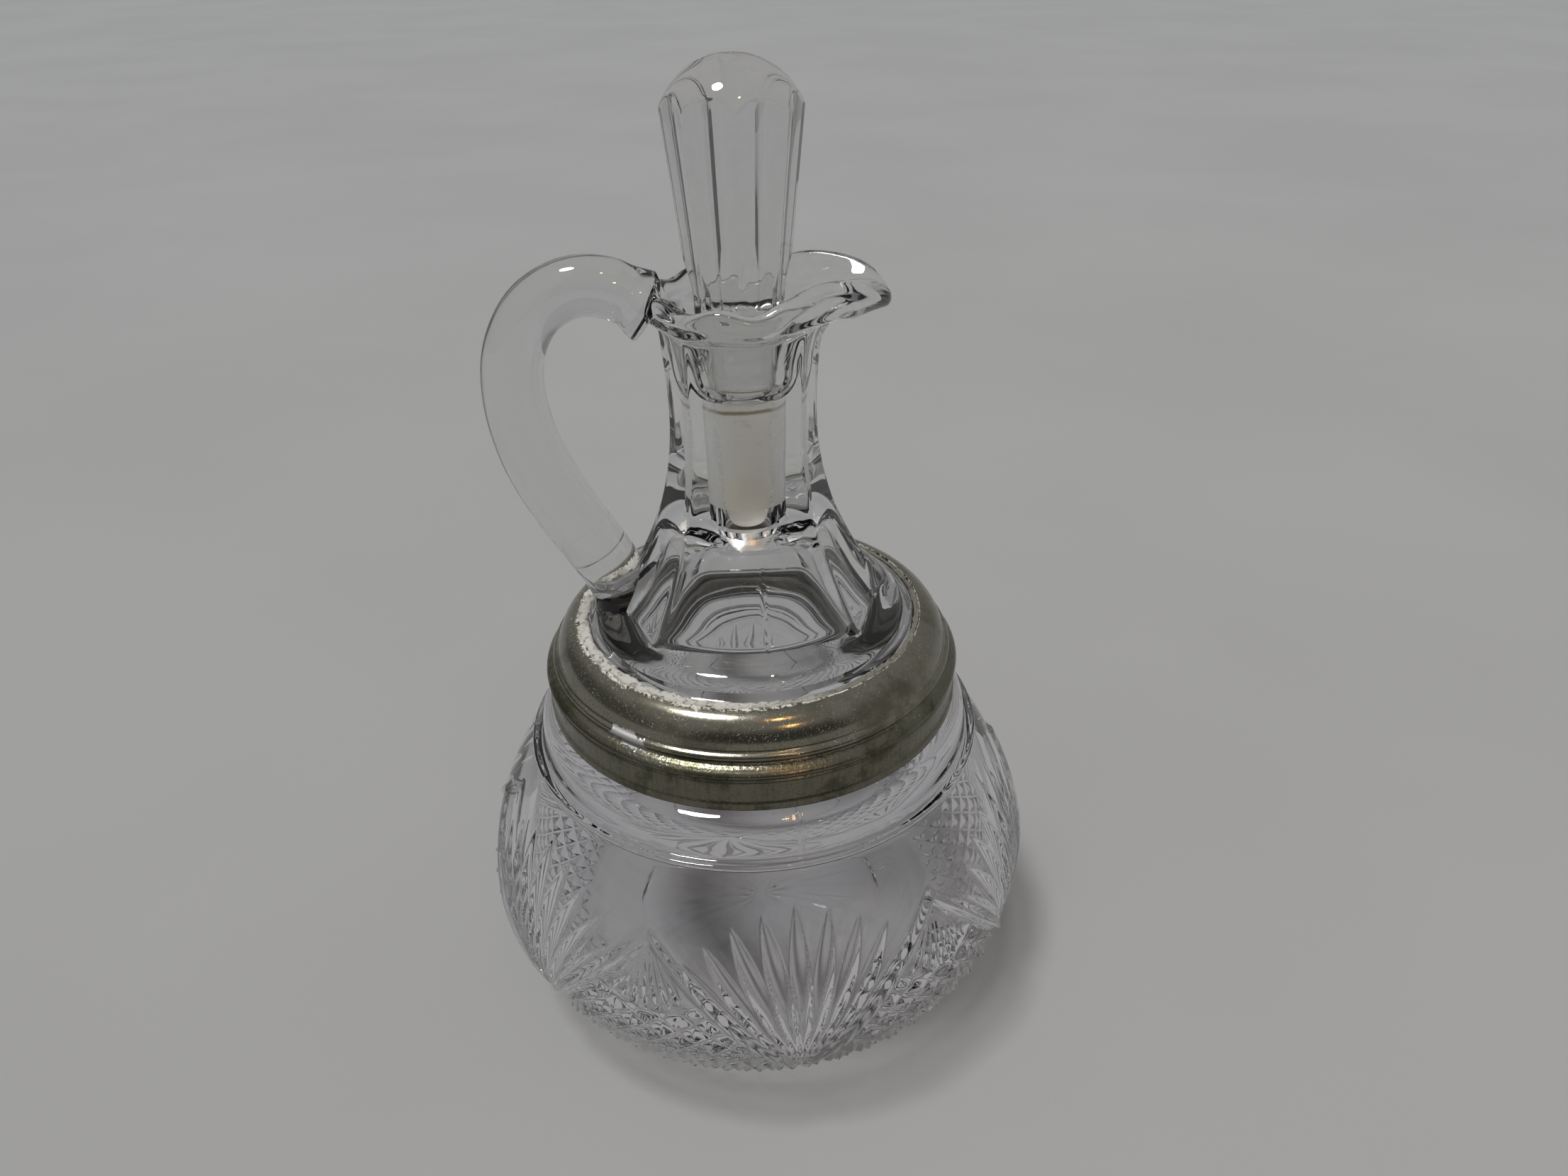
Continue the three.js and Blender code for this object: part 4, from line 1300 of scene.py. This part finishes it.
@dataclass
class Neck(SubAssembly):
    """The six-sided neck with its flange, spout and lip, and the handle fused to it."""

    slot: ClassVar[Slot] = Slot.TOP
    body: ClassVar[Body] = Body.TOP
    crease: ClassVar[float] = 28.0

    collar: ScrewCollar
    flange_bottom: float = 67.4
    flange_inset: float = 1.95
    shoulder: float = 27.1
    ring_radius: float = 22.6
    foot: float = 75.7
    foot_radius: float = 23.4
    waist: float = 11.35
    waist_height: float = 108.7
    flare: float = 2.2
    panel_top: float = 121.2
    panel_top_radius: float = 12.1
    front_bulge: float = 0.15
    lip: float = 13.5
    lip_full: float = 123.6
    rim: float = 125.75
    rim_round: float = 1.25
    bore_top: float = 111.5
    bore_bottom: float = 90.4
    plug_round: float = 3.2
    bore_radius: float = 5.3
    bore_taper: float = 0.4
    seam: float = -85.5
    seam_proud: float = 0.3
    throat: float = 22.0
    spout_start: float = 114.5
    spout_reach: float = 8.7
    spout_width: float = 31.0
    spout_curl: float = 3.5
    spout_lift: float = 2.4
    spout_dip: float = 1.6
    columns: int = 320
    inner_columns: int = 160

    def _radius(self, height: Array) -> Array:
        """Radius of the corners of the neck.

        Args:
            height: Heights.

        Returns:
            The radius at each height.
        """
        down = np.clip(self.waist_height - height, 0, None) / (self.waist_height - self.foot)
        up = np.clip((height - self.waist_height) / (self.panel_top - self.waist_height), 0, 1)
        flared = self.waist + (self.foot_radius - self.waist) * down ** self.flare
        opened = (self.panel_top_radius - self.waist) * up ** 1.4
        cuff = (self.lip - self.panel_top_radius) * smoothstep(
            height, self.panel_top, self.lip_full)
        return np.minimum(self.ring_radius, flared) + opened + cuff

    def _section(self) -> Array:
        """Radius of the six-sided section at each column, as a share of the corner radius.

        Returns:
            The shares. The front and back panels are twice as wide and bulge.
        """
        turn = angles(self.columns)
        quarter = math.pi / 4
        from_front = np.abs((turn % math.pi) - math.pi / 2)
        bulge = self.front_bulge * (1 - (from_front / quarter) ** 2)
        wide = math.cos(quarter) / np.cos(np.minimum(from_front, quarter)) + bulge
        from_corner = np.abs(turn - np.round(turn / quarter) * quarter)
        narrow = math.cos(quarter / 2) / np.cos(quarter / 2 - from_corner)
        share = np.where(from_front < quarter, wide, narrow)
        for _ in range(3):
            share = share / 2 + (np.roll(share, 1) + np.roll(share, -1)) / 4
        return share[None, :]

    def _outside(self) -> Piece:
        """Builds the outside of the neck as a full solid.

        Returns:
            The solid.
        """
        bevel = self.collar.dome(self.flange_inset, 12)
        bevel = bevel[bevel[:, 1] > self.flange_bottom + 0.3]
        ring = self.ring_radius
        flange = np.concatenate([
            straight([(0.5, self.flange_bottom), (bevel[0, 0] - 0.5, self.flange_bottom)], 4),
            bevel,
            spline([(self.shoulder + 0.15, 72.3), (self.shoulder, 72.62),
                    (self.shoulder - 0.3, 72.78), (26.0, 73.1)], 6),
            spline([(25.6, 73.3), (25.45, 73.75), (25.0, 74.5), (24.1, 75.2),
                    (23.2, 75.55), (ring, self.foot)], 14),
        ])
        rise = np.concatenate([np.linspace(self.foot + 0.35, self.panel_top - 0.2, 90),
                               np.linspace(self.panel_top, self.rim - 0.2, 22)])
        wall = np.stack([self._radius(rise), rise], 1)
        rim = round_edge((self.lip - self.rim_round, self.rim), self.rim_round, 6, 90, 9)
        profile = np.concatenate([flange, wall, rim, [(0.5, self.rim + self.rim_round)]])
        turn = angles(self.columns)[None, :]
        height = profile[:, 1:]
        flat = 1 - smoothstep(height, self.panel_top - 0.1, self.lip_full - 0.2)
        flat = np.where(height < self.foot + 0.2, 0, flat)
        radius = profile[:, :1] * (1 + flat * (self._section() - 1))
        seam = np.exp(-((turn - math.radians(self.seam + 360)) * radius / 0.22) ** 2)
        radius = radius + self.seam_proud * seam * smoothstep(
            height, 72.9, 74) * smoothstep(height, 92, 80)
        radius = radius + 0.05 * ripple(turn, height, 5.2) * (profile[:, :1] > 3)
        rings = np.stack([radius * np.cos(turn), radius * np.sin(turn),
                          np.broadcast_to(height, radius.shape)], 2)
        return solid("neck_glass_body", rings)

    def _inside(self) -> Piece:
        """Builds the space inside the neck as a full solid.

        Returns:
            The solid.
        """
        low = self.bore_radius - self.bore_taper
        throat = spline([(self.throat, self.flange_bottom), (20.2, 72.5), (16.2, 78.6),
                         (13.7, 83.2), (11.9, 86.2), (9.6, 88.2), (6.9, 89.4),
                         (low + 0.3, 90.0), (low, self.bore_bottom)], 48)
        rim_middle = self.lip - self.rim_round
        inner = rim_middle - self.rim_round
        mouth = spline([(self.bore_radius, self.bore_top), (6.1, 112.1), (7.1, 113.8),
                        (8.0, 117.0), (9.3, 121.0), (inner - 0.35, self.rim - 1.7),
                        (inner, self.rim)], 44)
        round_rim = round_edge((rim_middle, self.rim), self.rim_round, 170, 95, 7)
        profile = np.concatenate([
            [(0.4, self.flange_bottom - 4), (self.throat + 0.8, self.flange_bottom - 4),
             (self.throat + 0.8, self.flange_bottom - 0.3)],
            throat,
            straight([(low, self.bore_bottom + 0.4),
                      (self.bore_radius, self.bore_top - 0.3)], 1),
            mouth, round_rim,
            [(rim_middle, self.rim + 9), (0.4, self.rim + 9)],
        ])
        turn = angles(self.inner_columns)[None, :]
        relief = 0.1 * ripple(turn, profile[:, 1:], 1.9) * (
            (profile[:, :1] > 3) & (np.abs(profile[:, 1:] - 101) > 12)
            & (profile[:, 1:] < self.rim - 2))
        return solid("neck_space", rings_of(profile, self.inner_columns, relief))

    def _lift(self, side: Array, turn: Array, radius: Array) -> Array:
        """How far the rim rises or falls.

        Args:
            side: Angle from the spout, in degrees.
            turn: Angle in radians.
            radius: Distance from the axis.

        Returns:
            The rise of the rim in millimetres.
        """
        spout = (self.spout_lift * np.exp(-((side - 33) / 27) ** 2)
                 - self.spout_dip * np.exp(-(side / 10) ** 2))
        wave = 0.2 + 0.5 * np.cos(8 * (turn + math.radians(84)))
        calm = smoothstep(side, 55, 75) * smoothstep(radius, 17, 14.5)
        return spout - wave * calm

    def _spout(self, points: Array) -> Array:
        """Bends the top of the wall out to the spout, at its full thickness, and waves the rim.

        Args:
            points: Points as (count, 3).

        Returns:
            The moved points.
        """
        radius = np.maximum(np.hypot(points[:, 0], points[:, 1]), 1e-6)
        turn = np.arctan2(points[:, 1], points[:, 0])
        side = np.abs(np.degrees(turn))
        height = points[:, 2]
        span = self.rim - self.spout_start
        share = np.clip((height - self.spout_start) / span, 0, 1)
        bend = share ** self.spout_curl
        slope = self.spout_curl * share ** (self.spout_curl - 1) / span
        reach = self.spout_reach * np.exp(-(side / self.spout_width) ** 2)
        lift = self._lift(side, turn, radius)
        outward, upward = reach * slope, 1 + lift * slope
        length = np.hypot(outward, upward)
        outward, upward = outward / length, upward / length
        beyond = np.clip(height - self.rim, 0, None)
        middle = self.lip - self.rim_round
        thicker = 1 + 0.35 * share * np.exp(-(side / 32) ** 2)
        offset = (radius - middle) * thicker
        new_radius = middle + reach * bend + beyond * outward + offset * upward
        moved = points.copy()
        moved[:, :2] *= (new_radius / radius)[:, None]
        moved[:, 2] = (np.minimum(height, self.rim) + lift * bend + beyond * upward
                       - offset * outward)
        return moved

    def build(self) -> Piece:
        """Builds neck and handle as one glass body with a joint line round the handle.

        Returns:
            The neck with its handle, with the ground bore as its second material.
        """
        neck = self._outside()
        for rod in Handle().build():
            fuse(neck, rod, Fuse.JOIN)
        fuse(neck, self._inside(), Fuse.CUT)
        for face in neck.data.polygons:
            middle = face.center / MM
            ground = self.bore_bottom + self.plug_round < middle.z < self.bore_top
            face.material_index = int(ground and middle.xy.length < self.bore_radius + 0.1)
        reshape(neck, self._spout)
        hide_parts("neck", "handle")
        return neck


@dataclass
class Handle:
    """The bent glass rod of the handle with its stub, joint line and small spur."""

    joint: tuple[float, float] = (-24.4, 85.7)
    joint_depth: float = 0.12
    joint_width: float = 0.11
    low_radius: float = 5.0
    high_radius: float = 4.35
    root_flare: float = 1.3
    tip_flare: float = 0.9
    columns: int = 48
    stub: Outline = ((-19.6, 73.9), (-20.4, 76.2), (-21.9, 80.8))
    route: Outline = ((-27.5, 91.3), (-30.4, 97.2), (-32.8, 104.0), (-33.9, 111.5),
                      (-33.1, 118.6), (-29.9, 124.4), (-25.1, 127.5), (-20.3, 127.9),
                      (-16.0, 126.4), (-12.4, 124.0))

    def build(self) -> list[Piece]:
        """Builds the rod and the spur.

        Returns:
            Two solids that the neck takes in.
        """
        line = spline([*self.stub, self.joint, *self.route], 900)
        from_joint = np.hypot(*(line - np.array(self.joint)).T)
        index = np.arange(len(line))
        line = line[(index % 6 == 0) | (from_joint < 0.9)]
        from_joint = np.hypot(*(line - np.array(self.joint)).T)
        run = np.concatenate([[0], np.cumsum(np.hypot(*np.diff(line, axis=0).T))])
        share = run / run[-1]
        radii = self.low_radius + (self.high_radius - self.low_radius) * smoothstep(
            share, 0.3, 0.8)
        radii = radii + self.root_flare * smoothstep(line[:, 1], 78.5, 74.0) * (share < 0.2)
        radii = radii + self.tip_flare * smoothstep(share, 0.94, 1.0)
        front = smoothstep(-np.sin(angles(self.columns)), -0.3, 0.3)[None, :]
        groove = np.exp(-(from_joint[:, None] / self.joint_width) ** 2)
        rod = tube("handle_rod", line, radii[:, None] - self.joint_depth * groove * front,
                   self.columns)
        spur_line = spline([(-15.0, 124.5), (-15.4, 122.4), (-15.5, 121.2), (-15.3, 120.3)], 12)
        spur = tube("handle_spur", spur_line, np.linspace(2.6, 0.5, 12)[:, None], 24)
        return [rod, spur]


@dataclass
class Stopper(SubAssembly):
    """The solid glass stopper: eight-sided head, round shank and ground plug."""

    slot: ClassVar[Slot] = Slot.STOPPER
    body: ClassVar[Body] = Body.STOPPER
    crease: ClassVar[float] = 28.0

    head_foot: float = 123.0
    foot_radius: float = 6.95
    head_length: float = 34.65
    top_radius: float = 10.45
    crown: float = 10.75
    shank: float = 6.7
    seat_top: float = 109.7
    plug_top: float = 5.0
    plug_end: float = 4.5
    plug_bottom: float = 89.0
    hollow: float = 0.55
    edge: float = 0.1
    shank_top: float = 6.5
    facet_foot: float = 127.5
    facet_radius: float = 6.75
    cone_height: float = 5.5
    cone_radius: float = 8.3
    facets: int = 8
    side_top: float = 150.6
    dome_foot: float = 150.9
    columns: int = 240

    def build(self) -> Piece:
        """Builds the stopper as one closed body.

        Returns:
            The stopper, with the ground seat as its second material.
        """
        low = np.concatenate([
            straight([(0.4, self.plug_bottom), (self.plug_end - 2.4, self.plug_bottom + 0.05)], 1),
            spline([(self.plug_end - 2.0, self.plug_bottom + 0.15),
                    (self.plug_end - 0.8, self.plug_bottom + 1.2),
                    (self.plug_end - 0.1, self.plug_bottom + 3.6)], 10),
            straight([(self.plug_end, self.plug_bottom + 4.4),
                      (self.plug_top, self.seat_top - 0.2)], 0.9),
            spline([(self.plug_top + 0.12, self.seat_top + 0.1),
                    (self.plug_top - 0.05, self.seat_top + 0.5),
                    (self.plug_top + 0.1, 111.2), (5.7, 113.0), (6.35, 115.0),
                    (self.shank, 117.0), (self.shank, 120.4), (6.62, 122.0),
                    (self.shank_top, self.head_foot)], 34),
        ])
        top = self.head_foot + self.head_length
        centre = top - self.crown
        side = np.linspace(self.head_foot + 0.4, self.side_top, 46)
        polar = np.linspace(math.asin((self.dome_foot - centre) / self.crown),
                            math.pi / 2 - 0.03, 40)
        heights = np.concatenate([side, centre + self.crown * np.sin(polar)])
        turn = angles(self.columns)[None, :]
        growth = (self.top_radius - self.foot_radius) / self.head_length
        corner = self.foot_radius + growth * (heights - self.head_foot)
        panel = 2 * math.pi / self.facets
        fold = np.abs(turn - np.round(turn / panel) * panel)
        polygon = math.cos(panel / 2) / np.cos(panel / 2 - fold)
        sides = corner[:, None] * polygon - self.hollow * np.sin(fold / panel * math.pi)
        above = np.clip(heights - centre, 0, None)
        dome = np.sqrt(np.clip(self.crown ** 2 - above ** 2, 0.01, None))
        cone_top = self.facet_foot + self.cone_height
        cone = np.interp(heights, [self.head_foot, self.facet_foot, cone_top],
                         [self.shank_top, self.facet_radius, self.cone_radius])
        cone = np.where(heights > cone_top, 3 * self.crown, cone)
        radius = soft_least(sides, np.minimum(dome, cone)[:, None], self.edge)
        head = np.stack([radius * np.cos(turn), radius * np.sin(turn),
                         np.repeat(heights[:, None], self.columns, 1)], 2)
        piece = solid("stopper_glass_body", np.concatenate([rings_of(low, self.columns), head]))
        ground = self.seat_top * MM
        marks = [int(face.center.z < ground) for face in piece.data.polygons]
        piece.data.polygons.foreach_set("material_index", marks)
        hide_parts("stopper")
        return piece


@dataclass
class SealWasher:
    """The cork washer under the collar, for which the frame's own solid serves."""

    ring: Piece

    def dress(self, cork: Material) -> None:
        """Gives the washer its finish.

        Args:
            cork: The finish.
        """
        for holder in self.ring.material_slots:
            holder.material = cork
        LOG.info("seal_washer: keeps the frame's solid, with a cork finish")


# Studio


@dataclass(frozen=True)
class Lamp:
    """A small warm lamp that looks at the cruet. Its places are in metres."""

    name: str
    place: Place
    power: float
    size: tuple[float, float] = (0.05, 0.03)
    colour: Place = (1.0, 0.55, 0.2)
    aim: Place = (0.0, 0.0, 0.07)

    def build(self) -> None:
        """Puts the lamp in the scene."""
        light = bpy.data.lights.new(self.name, "AREA")
        light.shape = "RECTANGLE"
        light.size, light.size_y = self.size
        light.energy = self.power
        light.color = self.colour
        lamp = bpy.data.objects.new(self.name, light)
        lamp.location = self.place
        aim = Vector(self.aim) - Vector(self.place)
        lamp.rotation_euler = aim.to_track_quat("-Z", "Y").to_euler()
        bpy.context.scene.collection.objects.link(lamp)


@dataclass
class Studio:
    """Camera, pale floor, lamps and surrounding light."""

    camera_place: Place = (-8.4, -161.6, 175.3)
    right: Place = (0.99517, -0.09686, -0.01588)
    up: Place = (0.06420, 0.51997, 0.85177)
    forward: Place = (0.07425, 0.84867, -0.52368)
    focal_pixels: float = 1600.0
    frame_pixels: float = 2212.0
    sensor: float = 36.0
    floor_colour: Colour = (0.305, 0.308, 0.306, 1)
    dim_sides: tuple[tuple[Place, float, float], ...] = (
        ((-1.0, 0.1, 0.0), 0.62, 0.13), ((0.1, -1.0, 0.0), 0.55, 0.08))
    dim_edge: float = 0.3
    ceiling: Colour = (0.36, 0.36, 0.37, 1)
    floor_radius: float = 4.0
    sun_place: Place = (-0.27, -0.06, 0.96)
    sun_spread: float = 12.0
    sun_strength: float = 2.4
    lamps: tuple[Lamp, ...] = (
        Lamp("bulb", (0.13, -0.36, 0.95), 0.35),
        Lamp("low_bulb", (0.25, -0.72, 0.72), 0.3),
    )

    def camera(self) -> None:
        """Makes the scene's camera at the photograph's viewing angle."""
        data = bpy.data.cameras.new("camera")
        data.sensor_width = self.sensor
        data.lens = self.focal_pixels / self.frame_pixels * self.sensor
        data.clip_start = 0.01
        camera = bpy.data.objects.new("camera", data)
        x, y, z = Vector(self.right), Vector(self.up), -Vector(self.forward)
        turn = Matrix((x, y, z)).transposed().to_4x4()
        camera.matrix_world = Matrix.Translation(Vector(self.camera_place) * MM) @ turn
        bpy.context.scene.collection.objects.link(camera)
        bpy.context.scene.camera = camera

    def floor(self) -> None:
        """Makes the pale floor, wide enough to fill the view."""
        turn = angles(64)
        rim = np.stack([np.cos(turn), np.sin(turn), 0 * turn], 1) * self.floor_radius
        mesh = bpy.data.meshes.new("floor")
        mesh.from_pydata(rim.tolist(), [], [list(range(len(rim)))])
        floor = bpy.data.objects.new("floor", mesh)
        bpy.context.scene.collection.objects.link(floor)
        material, wiring, shader = new_material(
            "pale_floor", Roughness=0.9, Specular_IOR_Level=0.2)
        tone = wiring.ramp(wiring.noise(wiring.place(), 5), 0.3, 0.7)
        lighter = tuple(value * 1.05 for value in self.floor_colour[:3]) + (1,)
        wiring.link(shader, Base_Color=wiring.blend(tone, self.floor_colour, lighter))
        mesh.materials.append(material)

    def _room(self) -> bpy.types.World:
        """Makes the surrounding light: pale, with a dim left side and a dim front.

        Returns:
            The world.
        """
        world = bpy.data.worlds.new("room")
        world.use_nodes = True
        wiring = Wiring(world.node_tree)
        place = wiring.add("TexCoord").outputs["Generated"]
        rise = wiring.height(place)
        around = self.floor_colour
        for direction, edge, tone in self.dim_sides:
            dim = wiring.ramp(wiring.reach(place, direction), edge, edge + self.dim_edge)
            around = wiring.blend(dim, around, (tone, tone, tone, 1))
        colour = wiring.blend(wiring.ramp(rise, 0.3, 0.85), around, self.ceiling)
        room = wiring.add("Background", {"Color": colour, "Strength": 1.0})
        pale = wiring.add("Background", {"Color": self.floor_colour, "Strength": 1.0})
        seen = wiring.add("LightPath").outputs["Is Camera Ray"]
        mixed = wiring.add("MixShader", {0: seen, 1: room.outputs[0], 2: pale.outputs[0]})
        wiring.link(wiring.add("OutputWorld"), Surface=mixed.outputs[0])
        return world

    def light(self) -> None:
        """Makes the main light, the lamps and the surrounding light."""
        bpy.context.scene.world = self._room()
        data = bpy.data.lights.new("main_light", "SUN")
        data.energy = self.sun_strength
        data.angle = math.radians(self.sun_spread)
        sun = bpy.data.objects.new("main_light", data)
        sun.rotation_euler = Vector(self.sun_place).to_track_quat("Z", "Y").to_euler()
        bpy.context.scene.collection.objects.link(sun)
        for lamp in self.lamps:
            lamp.build()


def main() -> None:
    """Builds the studio and every piece, and gives the pieces their finishes."""
    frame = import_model()
    scene = bpy.context.scene
    scene.view_settings.view_transform = "Standard"
    studio = Studio()
    studio.camera()
    studio.floor()
    studio.light()

    effects = Effects()
    bowl_glass = Glass("bowl_glass", (0.945, 0.938, 0.955, 1), wave_depth=0.04).make(effects)
    top_glass = Glass("top_glass", (0.90, 0.905, 0.90, 1), wave_depth=0.03).make(effects)
    stopper_glass = Glass("stopper_glass", (0.87, 0.87, 0.86, 1), wave_depth=0.02).make(effects)
    ground_glass = GroundGlass().make(effects)
    collar = ScrewCollar()
    nickel = TarnishedNickel(collar.opening).make(effects)
    # The plaster is darker on the side away from PLASTER_SIDE.
    plaster = Crumbly("plaster", (0.52, 0.51, 0.47, 1), (0.14, 0.135, 0.11, 1),
                      patch_scale=900, relief=0.4,
                      far_side_colour=(0.17, 0.165, 0.14, 1)).make(effects)
    cork = Crumbly("cork", (0.24, 0.22, 0.19, 1), (0.13, 0.115, 0.095, 1),
                   patch_scale=700, relief=0.2).make(effects)

    Bowl().dress(bowl_glass)
    collar.dress(nickel)
    CementCrust(collar).dress(plaster)
    Neck(collar).dress(top_glass, ground_glass)
    Stopper().dress(stopper_glass, ground_glass)
    SealWasher(frame["nodes"]["seal_washer"]).dress(cork)


if __name__ == "__main__":
    logging.basicConfig(level=logging.INFO, format="%(name)s: %(message)s")
    main()
